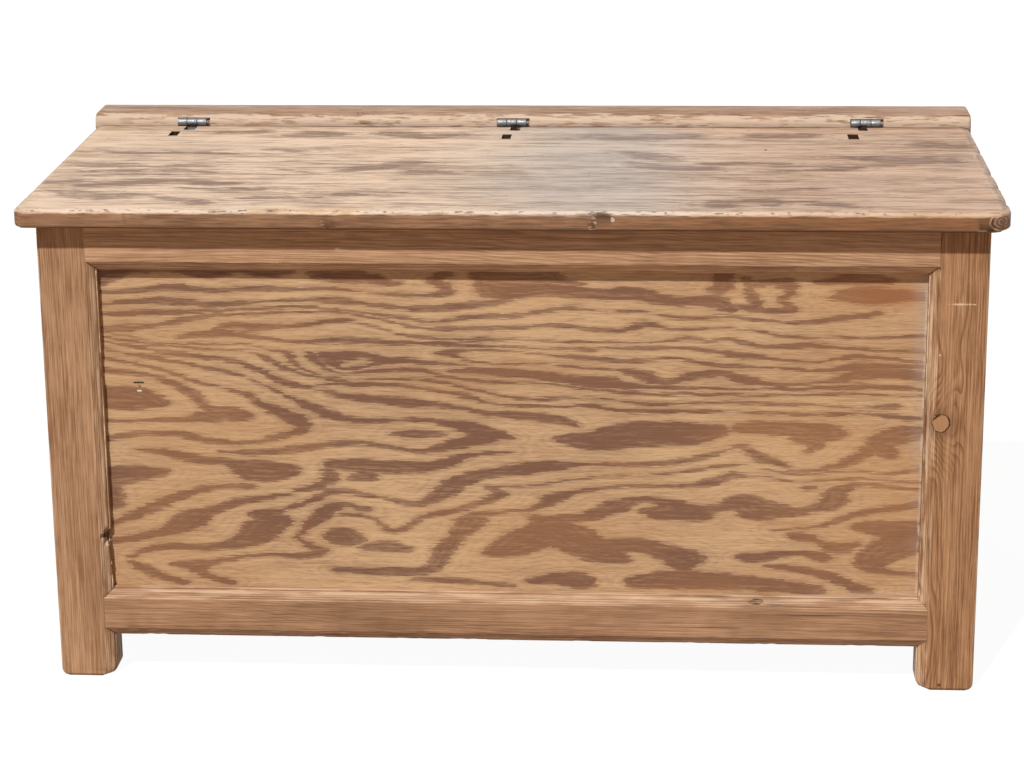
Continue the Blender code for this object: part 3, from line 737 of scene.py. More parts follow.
# Each side of the carcass: its place and turn, half the opening between its posts, its grain's axis, and
# whether it is moulded
MID_DEPTH = (FRONT + BACK) / 2
LONG_OPENING = HALF_WIDTH - POST_WIDE
SHORT_OPENING = (BACK - FRONT) / 2 - STOCK
SIDES = {
    "front": ((0, FRONT, 0), 0.0, LONG_OPENING, 0, True),
    "right": ((HALF_WIDTH, MID_DEPTH, 0), math.pi / 2, SHORT_OPENING, 1, True),
    "back": ((0, BACK, 0), math.pi, LONG_OPENING, 0, False),
    "left": ((-HALF_WIDTH, MID_DEPTH, 0), -math.pi / 2, SHORT_OPENING, 1, True),
}
# Each rail's pale and dark tone, how dark its rings are, its open mitres at the two ends, and a seed
RAIL_TONES = {
    "front_top": ((0.612, 0.374, 0.222), (0.316, 0.169, 0.090), 0.25, (0.0016, 0.0014), 5.0),
    "front_bottom": ((0.486, 0.282, 0.164), (0.232, 0.119, 0.062), 0.14, (0.0009, 0.0002), 6.0),
    "right_top": ((0.52, 0.290, 0.156), (0.29, 0.138, 0.066), 0.25, (0.0004, 0.0008), 7.0),
    "right_bottom": ((0.48, 0.258, 0.138), (0.27, 0.124, 0.060), 0.25, (0.0010, 0.0003), 8.0),
    "back_top": ((0.50, 0.285, 0.158), (0.28, 0.136, 0.068), 0.25, (0.0, 0.0), 9.0),
    "back_bottom": ((0.47, 0.262, 0.142), (0.26, 0.124, 0.060), 0.25, (0.0, 0.0), 10.0),
    "left_top": ((0.52, 0.290, 0.158), (0.29, 0.140, 0.068), 0.25, (0.0008, 0.0004), 11.0),
    "left_bottom": ((0.48, 0.260, 0.140), (0.26, 0.124, 0.060), 0.25, (0.0003, 0.0012), 12.0),
}
RAIL_RINGS = ((0.05, 0.5, 0.9), (0.5, 0.05, 0.9))
RAIL_CHIPS = {
    "front_bottom_rail": (
        ((0.279, -0.2315, 0.1015), (0.0080, 0.0070, 0.0045), (0.0, 0.0045, -0.0010), 0.9, 0.6),
        ((0.300, -0.2315, 0.0995), (0.0120, 0.0040, 0.0016), (0.0, 0.0014, 0.0), 0.7, 0.3),
    ),
}
RAIL_HEIGHTS = {"top": (PANEL_HIGH, POST_HIGH), "bottom": (RAIL_FOOT, PANEL_LOW)}
for side, (place, turn, opening, along, beaded) in SIDES.items():
    for level, (low, high) in RAIL_HEIGHTS.items():
        node = f"{side}_{level}_rail"
        pale, dark, lined, gaps, seed = RAIL_TONES[f"{side}_{level}"]
        rail = rail_board(f"fir_{node}", opening, low, high, level == "bottom", beaded, gaps)
        set_on_side(rail, place, turn)
        knock(rail, RAIL_CHIPS.get(node, ()))
        weather(rail, FRAME_RIPPLE, FRAME_NICK, seed)
        fir = frame_fir(f"fir_{node}", along, pale, dark, RAIL_RINGS[along], lined, seed)
        fit(rail, node, "carcass", fir)


# Panels: thin fir plywood, peeled round the log so that its growth rings open into long lines, eyes and
# islands with combed edges. Each sits loose in the grooves of its frame and has warped a little.
PLY_THICK = 0.006
PLY_PLAY = 0.0015
PLY_RIPPLE = 0.00025
PLY_GRID = (560, 830)
PLY_RELIEF = 0.00030
# Late wood of the front panel, drawn as strokes of (x, z, half width) in millimetres
LATE_WOOD = (
    ((-462, 459, 2), (-420, 461, 2), (-378, 466, 4), (-328, 461, 2), (-285, 465, 3), (-235, 463, 2),
     (-205, 465, 1.4), (-150, 460, 1), (-100, 457, 2.4), (-68, 461, 3), (-72, 468, 4), (-84, 474, 4),
     (-74, 481, 5), (-66, 490, 5)),
    ((-462, 471, 5), (-442, 477, 3)),
    ((-462, 480, 5), (-422, 484, 3), (-379, 485, 3), (-345, 481, 6), (-326, 482, 5), (-300, 485, 4),
     (-266, 482, 5), (-245, 485, 4)),
    ((-215, 480, 5), (-182, 478, 7), (-158, 478, 6), (-140, 473, 4), (-122, 471, 2)),
    ((-24, 482, 9), (8, 482, 9), (40, 482, 7), (56, 476, 4), (80, 471, 3)),
    ((-462, 444, 2), (-400, 450, 3.4), (-330, 446, 3), (-270, 449, 1.5), (-200, 452, 3), (-150, 446, 2),
     (-100, 442, 3), (-60, 446, 5), (-10, 452, 4), (0, 462, 8)),
    ((-28, 475, 4), (-10, 464, 11), (40, 466, 8), (100, 461, 7), (140, 461, 8), (180, 453, 5), (225, 453, 7),
     (246, 444, 4)),
    ((222, 466, 2), (236, 469, 6), (237, 478, 5), (238, 488, 5)),
    ((268, 470, 3), (280, 475, 4), (294, 476, 4), (308, 475, 4), (314, 468, 3)),
    ((340, 476, 3), (370, 479, 6), (405, 479, 6), (418, 476, 3)),
    ((256, 447, 3), (274, 447, 4), (268, 462, 3), (263, 478, 3)),
    ((283, 444, 2), (302, 443, 4), (315, 445, 3), (300, 455, 3), (312, 465, 3.5), (298, 473, 3)),
    ((355, 458, 2), (378, 461, 8), (405, 461, 10), (450, 461, 5)),
    ((-462, 433, 2), (-425, 435, 3), (-350, 437, 1.5), (-250, 443, 1.5), (-190, 441, 1.1), (-110, 430, 2),
     (-75, 428, 1.5), (-30, 434, 3), (10, 435, 2.4), (62, 445, 3), (105, 441, 1.3), (155, 441, 1.6),
     (190, 434, 2), (245, 435, 2), (320, 429, 1.5), (360, 434, 3), (405, 440, 3)),
    ((-462, 416, 2), (-440, 416, 4), (-400, 420, 2), (-370, 427, 3), (-325, 433, 2), (-205, 438, 1),
     (-150, 431, 1.2), (-100, 420, 1.5), (-20, 420, 2), (60, 424, 2.4), (120, 418, 2), (150, 426, 3.5),
     (185, 421, 1.5), (260, 422, 1.2), (310, 413, 1.5), (390, 412, 1.2), (455, 415, 1.5)),
    ((-332, 417, 2), (-310, 421, 4), (-250, 420, 3), (-190, 428, 2), (-150, 421, 1.5), (-100, 409, 1.8),
     (-10, 407, 1.5), (150, 405, 1.2), (195, 411, 2.4), (220, 408, 2), (245, 410, 3), (285, 401, 1.5),
     (340, 403, 2.4), (390, 399, 1.5), (450, 398, 2)),
    ((-372, 407, 2), (-345, 411, 4.5), (-290, 409, 3), (-240, 403, 2), (-195, 405, 4), (-150, 404, 3),
     (-60, 401, 1.6), (50, 397, 1.5), (90, 397, 2.4), (190, 399, 2), (260, 391, 3.5), (335, 384, 1.5),
     (385, 391, 2.4), (455, 385, 2)),
    ((-462, 411, 1), (-430, 408, 1), (-390, 400, 1), (-300, 399, 1), (-268, 393, 1.4), (-250, 389, 3),
     (-243, 377, 2), (-215, 364, 1), (-185, 360, 1)),
    ((-462, 407, 1.2), (-400, 398, 1.3), (-350, 394, 1.4), (-292, 391, 1.4), (-272, 382, 2.4), (-245, 368, 2),
     (-195, 358, 1.4), (-160, 359, 1.4), (-105, 360, 1.5), (-60, 353, 1.5), (0, 340, 1.4), (50, 338, 1.8),
     (100, 340, 1.2), (155, 334, 1.5), (230, 336, 1.8), (320, 335, 1.8), (380, 332, 1.3), (430, 334, 3)),
    ((-462, 402, 1.8), (-400, 391, 2.4), (-335, 383, 3.4), (-300, 377, 2.4), (-262, 358, 3.6), (-215, 346, 2),
     (-180, 339, 4), (-125, 333, 5.5), (-85, 330, 3), (-50, 326, 1.5), (-20, 320, 3.4), (50, 315, 5.5),
     (75, 306, 2)),
    ((-462, 393, 1.8), (-420, 385, 2), (-345, 372, 2.4), (-300, 361, 1.5), (-240, 333, 2.3), (-210, 320, 4),
     (-175, 311, 3), (-100, 312, 2.4), (-50, 304, 6), (-25, 297, 7), (2, 291, 2)),
    ((-462, 382, 2.4), (-400, 370, 2), (-350, 353, 2), (-305, 343, 2), (-280, 328, 3), (-246, 312, 6),
     (-236, 300, 4), (-262, 290, 4), (-305, 282, 3), (-350, 286, 3.5), (-385, 294, 4), (-460, 287, 3.5)),
    ((-462, 367, 3.4), (-405, 361, 3), (-365, 344, 4.5), (-346, 326, 4), (-318, 317, 8), (-298, 313, 4)),
    ((-350, 314, 5), (-330, 311, 3), (-380, 309, 3), (-460, 306, 2)),
    ((-458, 335, 14), (-430, 334, 14), (-402, 329, 7)),
    ((-228, 393, 2), (-219, 383, 3), (-205, 371, 2), (-180, 366, 1.4), (-120, 372, 2), (-80, 366, 2.4),
     (-35, 358, 2), (40, 356, 1.3), (85, 351, 1.2), (150, 346, 1.2), (235, 346, 1.8), (300, 345, 1.2),
     (365, 347, 1.4), (440, 346, 1)),
    ((-213, 391, 2), (-198, 386, 6), (-165, 388, 4), (-140, 382, 3.2), (-100, 381, 2.8), (-50, 377, 1.6)),
    ((-200, 380, 5), (-188, 372, 1.8), (-162, 374, 1.8), (-148, 379, 2)),
    ((-82, 391, 2), (-70, 391, 4), (-50, 394, 1.5), (0, 394, 1.2), (60, 388, 1.5), (135, 384, 2.4),
     (185, 387, 2), (220, 381, 2.4), (275, 377, 1.5), (345, 375, 1.1), (390, 380, 4), (455, 380, 3)),
    ((-62, 388, 2), (-30, 380, 1.2), (35, 379, 1.2), (90, 375, 1), (138, 374, 1.4)),
    ((-66, 370, 2), (-35, 371, 4), (30, 366, 5), (70, 361, 5.5), (117, 362, 4)),
    ((70, 356, 1.6), (130, 354, 4), (170, 352, 2), (270, 352, 1.5), (340, 354, 2), (385, 356, 3),
     (455, 354, 2)),
    ((126, 373, 3), (150, 366, 6), (175, 359, 4), (210, 368, 5), (240, 370, 3), (265, 362, 5), (298, 358, 2),
     (350, 361, 2), (385, 369, 5.5), (425, 372, 6), (456, 369, 6)),
    ((-215, 353, 1), (-130, 353, 3), (-75, 345, 2), (-45, 340, 3), (-20, 332, 1.5), (45, 329, 1.5),
     (90, 330, 2), (130, 325, 2), (235, 325, 1.5), (350, 323, 2), (400, 325, 2), (440, 320, 3)),
    ((66, 291, 7), (100, 290, 12), (140, 297, 15), (175, 298, 15), (205, 299, 13), (231, 304, 7)),
    ((254, 306, 4), (272, 307, 8), (310, 306, 9), (345, 303, 11), (366, 299, 5)),
    ((325, 295, 6), (343, 290, 5), (334, 280, 3)),
    ((456, 303, 8), (430, 297, 10), (415, 290, 8), (424, 276, 5)),
    ((404, 284, 6), (370, 264, 3), (325, 256, 1.5), (303, 265, 3), (282, 271, 5), (258, 284, 2.4),
     (220, 272, 2.3), (165, 263, 3), (100, 261, 2), (40, 261, 3.4)),
    ((248, 251, 2), (290, 249, 1.5), (325, 243, 1.2), (380, 248, 1.5), (456, 245, 1.5)),
    ((-430, 273, 1.5), (-395, 270, 4), (-360, 263, 5), (-320, 259, 4), (-288, 249, 12), (-260, 249, 9)),
    ((-330, 271, 2), (-280, 271, 4), (-200, 282, 4), (-160, 283, 3), (-105, 275, 3), (-60, 284, 6),
     (-25, 292, 6)),
    ((-130, 296, 3), (-108, 295, 5), (-78, 295, 2)),
    ((-202, 258, 6), (-175, 257, 8), (-120, 256, 8), (-88, 257, 6), (-45, 271, 3), (0, 275, 1)),
    ((-206, 250, 4), (-210, 236, 4), (-255, 222, 2), (-310, 212, 4), (-345, 200, 5), (-370, 189, 10),
     (-395, 174, 6), (-460, 161, 3)),
    ((-176, 242, 4), (-162, 243, 5)),
    ((-458, 240, 12), (-430, 243, 10), (-402, 246, 6)),
    ((-458, 225, 6), (-455, 205, 4)),
    ((-460, 183, 3), (-420, 199, 5), (-375, 219, 4), (-335, 229, 3), (-298, 230, 3)),
    ((-440, 143, 2), (-400, 155, 4), (-350, 155, 3.5), (-305, 164, 8), (-284, 180, 11), (-268, 189, 8)),
    ((-285, 196, 7), (-262, 202, 2), (-230, 213, 2.6), (-200, 225, 3.5), (-150, 219, 2), (-110, 212, 4),
     (-80, 221, 6), (-66, 234, 7), (-35, 247, 5.5), (20, 255, 7), (58, 259, 4)),
    ((-438, 137, 3), (-425, 128, 4.5), (-400, 117, 4), (-380, 112, 3)),
    ((-386, 133, 3), (-362, 133, 6), (-335, 139, 3.4), (-290, 147, 2), (-235, 147, 4), (-212, 153, 2)),
    ((-366, 128, 4), (-345, 118, 3), (-325, 113, 3)),
    ((-246, 170, 1.5), (-225, 189, 4.5), (-205, 206, 5), (-185, 209, 3), (-165, 204, 3)),
    ((-192, 198, 2), (-160, 194, 2), (-133, 178, 3), (-100, 195, 3), (-55, 207, 3), (-14, 222, 4.5),
     (-22, 231, 3)),
    ((-246, 168, 1.5), (-230, 158, 3), (-214, 153, 3)),
    ((-206, 170, 4), (-192, 170, 10), (-178, 166, 5)),
    ((-166, 158, 4), (-142, 159, 7), (-122, 156, 4.5)),
    ((-46, 191, 9), (-60, 174, 5), (-76, 157, 6), (-95, 131, 5), (-150, 129, 5), (-200, 130, 3)),
    ((-42, 199, 4), (0, 204, 1.5), (25, 207, 3), (50, 220, 6), (80, 229, 2.4), (130, 236, 2.4),
     (200, 237, 2.4), (230, 243, 5), (250, 251, 3)),
    ((-25, 233, 2), (0, 233, 1.2), (55, 240, 2), (100, 247, 1.3), (185, 252, 1.3), (255, 263, 1.5),
     (295, 256, 1.2), (325, 252, 1.2), (385, 257, 1.3), (425, 254, 1), (456, 260, 2)),
    ((345, 210, 4), (362, 219, 7), (370, 234, 6), (395, 241, 2.4), (456, 236, 2)),
    ((88, 199, 5), (118, 211, 7), (150, 220, 3), (175, 216, 6), (200, 207, 10), (235, 210, 5), (262, 218, 9),
     (284, 209, 12), (320, 208, 5), (348, 212, 4)),
    ((152, 206, 3), (180, 204, 9), (215, 200, 5)),
    ((30, 194, 5), (60, 195, 5), (90, 198, 4)),
    ((48, 186, 11), (25, 172, 13), (0, 161, 11), (-22, 154, 5)),
    ((55, 180, 14), (80, 166, 14), (105, 154, 11), (126, 147, 5)),
    ((110, 164, 9), (145, 166, 8), (165, 160, 9), (195, 151, 10), (208, 146, 5)),
    ((190, 146, 7), (196, 137, 5)),
    ((25, 119, 4), (48, 123, 6), (75, 121, 9), (84, 116, 4)),
    ((-112, 120, 3), (-70, 119, 4), (0, 113, 1.5)),
    ((148, 120, 8), (180, 124, 11), (235, 123, 10), (290, 119, 8), (345, 113, 6)),
    ((260, 152, 3), (280, 152, 6), (325, 158, 3), (352, 153, 5)),
    ((292, 142, 2), (335, 137, 3), (370, 127, 4), (398, 114, 6)),
    ((310, 182, 2), (330, 177, 5), (350, 171, 3), (370, 165, 7), (391, 170, 3)),
    ((298, 184, 1.5), (345, 190, 2), (385, 204, 3.4), (456, 219, 4)),
    ((398, 191, 6), (430, 187, 11), (458, 184, 14)),
    ((455, 172, 12), (425, 163, 12), (405, 146, 7), (420, 138, 4), (458, 134, 3)),
    ((333, 236, 3), (340, 237, 2.5)),
)
SHEET_EDGE = 470.0
RUN_IN = 445
RUN_OUT = 435
FAR_OUTSIDE = -25.0
ON_THE_BACK = -9.0
STROKE_REACH = (45, 40)
ALONG_GRAIN = 0.44


def bent(a, b, c, d, t):
    """A value on the smooth curve that leads from b to c, with a before them and d after."""
    return (2 * b + (c - a) * t + (2 * a - 5 * b + 4 * c - d) * t * t + (3 * b - a - 3 * c + d) * t ** 3) / 2


def stroke_line(points, steps=5):
    """A smooth line through the points of a stroke; one that ends near the sheet's side runs on to it."""
    first, last = points[0], points[-1]
    lead = [(math.copysign(SHEET_EDGE, first[0]), *first[1:])] if RUN_IN < abs(first[0]) < SHEET_EDGE else []
    tail = [(math.copysign(SHEET_EDGE, last[0]), *last[1:])] if RUN_OUT < abs(last[0]) < SHEET_EDGE else []
    points = [*lead, *points, *tail]
    ends = [points[0], *points, points[-1]]
    line = []
    for stretch in zip(ends, ends[1:], ends[2:], ends[3:]):
        for step in range(steps):
            line.append([bent(*four, step / steps) for four in zip(*stretch)])
    return np.array([*line, points[-1]], float)


def drawn_figure(strokes, x, z):
    """How far each place lies inside the drawn late wood, in millimetres, and less than 0 outside it."""
    inside = np.full(len(x), FAR_OUTSIDE)
    wide, tall = STROKE_REACH
    for points in strokes:
        line = stroke_line(points)
        for (x0, z0, w0), (x1, z1, w1) in zip(line, line[1:]):
            close = (x > min(x0, x1) - wide) & (x < max(x0, x1) + wide) & (np.abs(z - (z0 + z1) / 2) < tall)
            run, climb = x1 - x0, z1 - z0
            over, up = x[close] - x0, z[close] - z0
            part = np.clip((over * run + up * climb) / (run * run + climb * climb + 1e-9), 0, 1)
            away = np.hypot((over - part * run) * ALONG_GRAIN, up - part * climb)
            inside[close] = np.maximum(inside[close], w0 + part * (w1 - w0) - away)
    return inside


def peeled_figure(x, z, seed):
    """The same for a sheet whose rings are left to chance: bands of a gently rolling height map."""
    inside = []
    for across, up in zip(x / 1000, z / 1000):
        spot = Vector((across * 2.3 + seed, up * 7.5, seed))
        hill = noise.noise(spot) * 2.1 + noise.noise(spot * 2.3) * 0.8 + noise.noise(spot * 5.1) * 0.25
        band = (up * 11 + hill) % 1.0
        inside.append((0.21 - abs(band - 0.5)) * 26)
    return np.array(inside)


def draw_rings(piece, figure):
    """Marks each point with what a figure gives for its place in millimetres."""
    places = np.empty(3 * len(piece.data.vertices))
    piece.data.vertices.foreach_get("co", places)
    ring = piece.data.attributes.new("ring", "FLOAT", "POINT")
    ring.data.foreach_set("value", figure(*(places.reshape(-1, 3).T * 1000)))


def ply_board(name, reach, low, high, front, figure):
    """A sheet with a fine grid on its show face, which carries the figure, and a plain back."""
    bpy.ops.object.select_all(action="DESELECT")
    columns, rows = round(reach * PLY_GRID[0]), round((high - low) * PLY_GRID[1])
    bpy.ops.mesh.primitive_grid_add(x_subdivisions=columns, y_subdivisions=rows, size=1)
    sheet = bpy.context.object
    sheet.name = sheet.data.name = name
    sheet.scale = (2 * reach, high - low, 1)
    sheet.rotation_euler.x = math.pi / 2
    sheet.location = (0, front, (low + high) / 2)
    settle()
    draw_rings(sheet, figure)
    sheet.data.attributes.new("wear", "FLOAT", "POINT")
    with editing(sheet, "EDGE"):
        bpy.ops.mesh.select_non_manifold()
        bpy.ops.mesh.extrude_region_move(TRANSFORM_OT_translate={"value": (0, PLY_THICK, 0)})
        bpy.ops.mesh.edge_face_add()
    for vert in sheet.data.vertices:
        if vert.co.y > front + PLY_THICK / 2:
            sheet.data.attributes["ring"].data[vert.index].value = ON_THE_BACK
    return sheet


def axes_of(place):
    split = place.node("ShaderNodeSeparateXYZ", None, {0: place})
    return [Socket(place.tree, split.socket.node.outputs[index]) for index in range(3)]


PLY_PALE = (0.578, 0.374, 0.209)
PLY_DARK = (0.192, 0.096, 0.060)
PLY_WARM = (0.46, 0.222, 0.085)
PLY_BROWNED = (0.47, 0.222, 0.085)
RED_PATCH = ((0.415, -0.218, 0.461), (0.05, 0.02, 0.013), (0.30, 0.105, 0.045))
HAZE = (0.42, 0.33, 0.27)
CRUST = (0.62, 0.51, 0.42)
LOW_CRUST = (0.60, 0.50, 0.41)
# The splintered nick, as the middle, half size and soft edge of each part on x and on z
NICK_BAR = ((-0.4208, 0.0050, 0.0020), (0.3528, 0.0007, 0.0007))
NICK_STEM = ((-0.4205, 0.0013, 0.0012), (0.3500, 0.0024, 0.0012))
NICK_FLAKE = ((-0.4205, 0.0020, 0.0010), (0.3432, 0.0007, 0.0006))
NICK_DARK = (0.022, 0.013, 0.010)
NICK_PALE = (0.80, 0.74, 0.66)


def panel_ply(name, along, seed, aged):
    """Peeled veneer in two tones: the ring marks make the late wood, torn along the grain at its edges."""
    material, place = new_finish(name)
    far = (seed * 2.9, seed * 1.3, seed * 3.7)
    run = grain_scale(along)
    ring = marks_of(place, "ring")
    comb = streaks(place, run(430, 34), far)
    lap = streaks(place, run(130, 11), far)
    torn = ring + comb * 2.2 + lap * 1.4
    late = torn.rise(-0.8, 0.8)
    halo = torn.rise(-6.0, 0.5)
    heart = ring.rise(1.0, 9.0)
    echo = (ring * 0.21 + lap * 0.35).maths("FRACT")
    echo = echo.rise(0.30, 0.80) * echo.rise(0.84, 1.0, 1.0, 0.0) * ring.rise(-24.0, -6.0)
    fleck = streaks(place, run(300, 16), far)
    thread = streaks(place, run(640, 52), far)
    broad = streaks(place, run(6, 2.6), far, 2.0, 0.5)
    patches = streaks(place, run(26, 9), far)
    pores = cloud(place, run(1500, 80), far, 1.0).rise(0.56, 0.70)
    shade = 0.62 * late + 0.13 * halo + 0.08 * heart + 0.12 * pores + 0.20 * fleck + 0.24 * thread + 0.12
    shade = shade + 0.16 * broad + 0.14 * patches + 0.13 * echo
    colour = tint(shade, PLY_PALE, PLY_DARK)
    warm = cloud(place, run(9, 3.5), (far[1], far[2], far[0]), 2.0).rise(0.42, 0.66)
    colour = tint(warm * 0.22, colour, PLY_WARM)
    if aged:
        x, _, z = axes_of(place)
        colour = tint(x.rise(0.05, 0.46) * (0.16 + 0.20 * patches), colour, PLY_BROWNED)
        centre, reach, red = RED_PATCH
        colour = tint(spot_distance(place, centre, reach).rise(0.5, 1.2, 0.45, 0.0), colour, red)
        haze = x.rise(0.4380, 0.4600) * (z.rise(0.20, 0.40, 0.10, 0.34) + 0.30 * patches)
        colour = tint(haze, colour, HAZE)
        crust = x.rise(0.4565, 0.4600) * cloud(place, (170, 170, 60), far, 3.0).rise(0.36, 0.60)
        colour = tint(crust * 0.70, colour, CRUST)
        low_crust = z.rise(0.108, 0.116, 0.6, 0.0) * x.rise(0.30, 0.45) * (patches + 0.5)
        colour = tint(low_crust, colour, LOW_CRUST)
        bar, stem, flake = [
            strip_mask(x, *over) * strip_mask(z, *up) for over, up in (NICK_BAR, NICK_STEM, NICK_FLAKE)
        ]
        nick = bar.maths("MAXIMUM", stem * cloud(place, (700, 700, 700), far, 2.0).rise(0.42, 0.55))
        colour = tint(nick * 0.95, colour, NICK_DARK)
        colour = tint(flake * 0.9, colour, NICK_PALE)
    relief = late * 0.4 - pores * 0.5 + fleck * 0.4
    set_finish(material, place, colour, 0.40 + 0.16 * fleck + 0.08 * late, relief, PLY_RELIEF)
    return material


PLY_SEEDS = {"front": 0.0, "right": 4.0, "back": 8.0, "left": 12.0}
for side, (place, turn, opening, along, _) in SIDES.items():
    seed = PLY_SEEDS[side]
    tucked = GROOVE_DEEP - PLY_PLAY

    def figure(x, _, z):
        return drawn_figure(LATE_WOOD, x, z) if side == "front" else peeled_figure(x, z, seed)

    size = (opening + tucked, PANEL_LOW - tucked, PANEL_HIGH + tucked)
    panel = ply_board(f"ply_{side}_panel", *size, (STOCK - PLY_THICK) / 2, figure)
    set_on_side(panel, place, turn)
    weather(panel, PLY_RIPPLE, 0.0, seed)
    ply = panel_ply(f"ply_{side}", along, seed, side == "front")
    fit(panel, f"{side}_panel", "carcass", ply)


# Floor: seven pine boards laid front to back on a cleat along each bottom rail, nailed down through the
# tongued joints. The cleats are screwed to the rails.
FLOOR_BOARDS = 7
TONGUE = 0.005
BOARD_ROUND = 0.0008
CLEAT_ROUND = 0.0012
PINE_SLICE = 0.02
PINE_RIPPLE = 0.0001
PINE_NICK = 0.0004
PINE_RELIEF = 0.0003
PINE_PALE = (0.49, 0.315, 0.178)
PINE_DARK = (0.30, 0.168, 0.082)
PINE_KNOT = (0.20, 0.10, 0.05)
PINE_STAIN = (0.34, 0.22, 0.13)
PINE_WORN = (0.56, 0.40, 0.25)


def inside_pine(name, along, seed):
    """Dry unfinished pine with soft grain and a few small knots."""
    material, place = new_finish(name)
    far = (seed * 2.1, seed * 3.3, seed * 1.9)
    run = grain_scale(along)
    sockets = {"Vector": scaled(place, run(9, 3.5), far), "Scale": 1.0}
    knots = place.node("ShaderNodeTexVoronoi", None, sockets)
    wander = cloud(place, run(8, 1.2), far, 3.0) + knots.rise(0.04, 0.30, 1.0, 0.0) * 0.5
    x, y, _ = axes_of(place)
    phase = ((y if along == 0 else x) * 130.0 + wander * 6.0).maths("FRACT")
    late = phase.rise(0.2, 0.85) * phase.rise(0.88, 1.0, 1.0, 0.0)
    fibres = cloud(place, run(700, 12), far, 2.0)
    stains = cloud(place, run(6, 3), far, 3.0)
    colour = tint(0.55 * late + 0.35 * fibres - 0.12, PINE_PALE, PINE_DARK)
    colour = tint(knots.rise(0.05, 0.11, 0.75, 0.0), colour, PINE_KNOT)
    colour = tint(stains.rise(0.5, 0.8) * 0.35, colour, PINE_STAIN)
    colour = tint(marks_of(place, "wear") * 0.35, colour, PINE_WORN)
    set_finish(material, place, colour, 0.55 + 0.2 * fibres, fibres * 0.4 - late * 0.4, PINE_RELIEF)
    return material


pine_boards = inside_pine("pine_floor", 1, 1.0)
pine_cleats = inside_pine("pine_cleat", 0, 2.0)
for number in range(1, FLOOR_BOARDS + 1):
    node = f"floor_board_{number}"
    low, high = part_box(node)
    if number < FLOOR_BOARDS:
        high.x -= TONGUE
    plank = board(f"pine_{node}", low, high)
    ease(plank, lies_in((2, high.z)), BOARD_ROUND, 2, 0.6)
    slice_along(plank, 1, PINE_SLICE)
    weather(plank, PINE_RIPPLE, PINE_NICK, number * 1.7)
    fit(plank, node, "carcass", pine_boards)
for node in ("front_cleat", "back_cleat"):
    cleat = board(f"pine_{node}", *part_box(node))
    ease(cleat, lambda a, b: abs(a.x - b.x) > 0.1, CLEAT_ROUND, 2, 0.6)
    slice_along(cleat, 0, PINE_SLICE)
    weather(cleat, PINE_RIPPLE, PINE_NICK, 3.0)
    fit(cleat, node, "carcass", pine_cleats)


# Hinge rail: a thicker fir board fixed on the back of the carcass behind the lid, dowelled down to the top
# rail. Its front nose is rounded and worn pale, and it is let in for the three hinges.
def rod(name, radius, middle, length, axis, sides, ends="NGON"):
    """A round bar along one axis, with its place in its mesh."""
    bpy.ops.object.select_all(action="DESELECT")
    turn = ((0, math.pi / 2, 0), (math.pi / 2, 0, 0), (0, 0, 0))[axis]
    bpy.ops.mesh.primitive_cylinder_add(vertices=sides, radius=radius, depth=length, end_fill_type=ends,
                                        location=middle, rotation=turn)
    bar = bpy.context.object
    bar.name = bar.data.name = name
    settle()
    return bar


def let_in(piece, cutters):
    """Cuts pockets out of a piece with the given blocks, which are used up."""
    for block in cutters:
        cut = piece.modifiers.new("pocket", "BOOLEAN")
        cut.operation = "DIFFERENCE"
        cut.object = block
        pick(piece)
        bpy.ops.object.modifier_apply(modifier=cut.name)
        bpy.data.objects.remove(block)


def spaced(start, spacing, count):
    """Places in even steps from the first one."""
    return [start + spacing * step for step in range(count)]


AXIS_Y = 0.194
AXIS_Z = 0.5678
HINGES = {"hinge_left": -0.423, "hinge_middle": -0.020, "hinge_right": 0.4185}
HINGE_HALF = 0.018
LEAF_DROP = 0.0215
PIN_SHOW = 0.0032
PIN_LONG = 2 * HINGE_HALF + PIN_SHOW
SEAT_ROUND = 0.0060
SEAT_PLAY = 0.0016
BED_PLAY = 0.0003
BED_HALF = 0.0021
BED_TOP = 0.0025


def hinge_seats():
    """The room that each hinge needs: a hollow for the barrel and its pin, and a bed for the leaves."""
    blocks = []
    for x in HINGES.values():
        middle = (x + PIN_SHOW / 2, AXIS_Y, AXIS_Z)
        blocks.append(rod("barrel_seat", SEAT_ROUND, middle, PIN_LONG + SEAT_PLAY, 0, 24))
        low = (x - HINGE_HALF - BED_PLAY, AXIS_Y - BED_HALF, AXIS_Z - LEAF_DROP - BED_PLAY)
        high = (x + HINGE_HALF + BED_PLAY, AXIS_Y + BED_HALF, AXIS_Z - BED_TOP)
        blocks.append(board("leaf_bed", low, high))
    return blocks


NOSE_ROUND = 0.0128
BACK_ROUND = 0.003
RAIL_END_ROUND = 0.0035
RAIL_FIRST_SLICE = 0.006
RAIL_SLICES = 272
RAIL_RIPPLE = 0.00015
RAIL_NICK = 0.0016
rail_low, rail_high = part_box("hinge_rail")
nose_rail = board("fir_hinge_rail", rail_low, rail_high)
ease(nose_rail, lies_in((1, rail_low.y), (2, rail_high.z)), NOSE_ROUND, 12)
ease(nose_rail, lies_in((1, rail_high.y), (2, rail_high.z)), BACK_ROUND, 3, 0.7)
for end in (rail_low.x, rail_high.x):
    ease(nose_rail, lies_in((0, end)), RAIL_END_ROUND, 4, 0.8)
let_in(nose_rail, hinge_seats())
scribe(nose_rail, 0, spaced(rail_low.x + RAIL_FIRST_SLICE, SLICE, RAIL_SLICES))
weather(nose_rail, RAIL_RIPPLE, RAIL_NICK, 21.0)


def top_grain(place, far):
    """Noises that the top boards share, long on x: hairs, fibres, pores, bands, mottle and stains."""
    scales = ((10, 125), (38, 270), (60, 800), (3.0, 42), (16, 40))
    noises = [streaks(place, (length, across, across), far) for length, across in scales]
    return *noises, cloud(place, (5, 9, 9), far, 3.0)


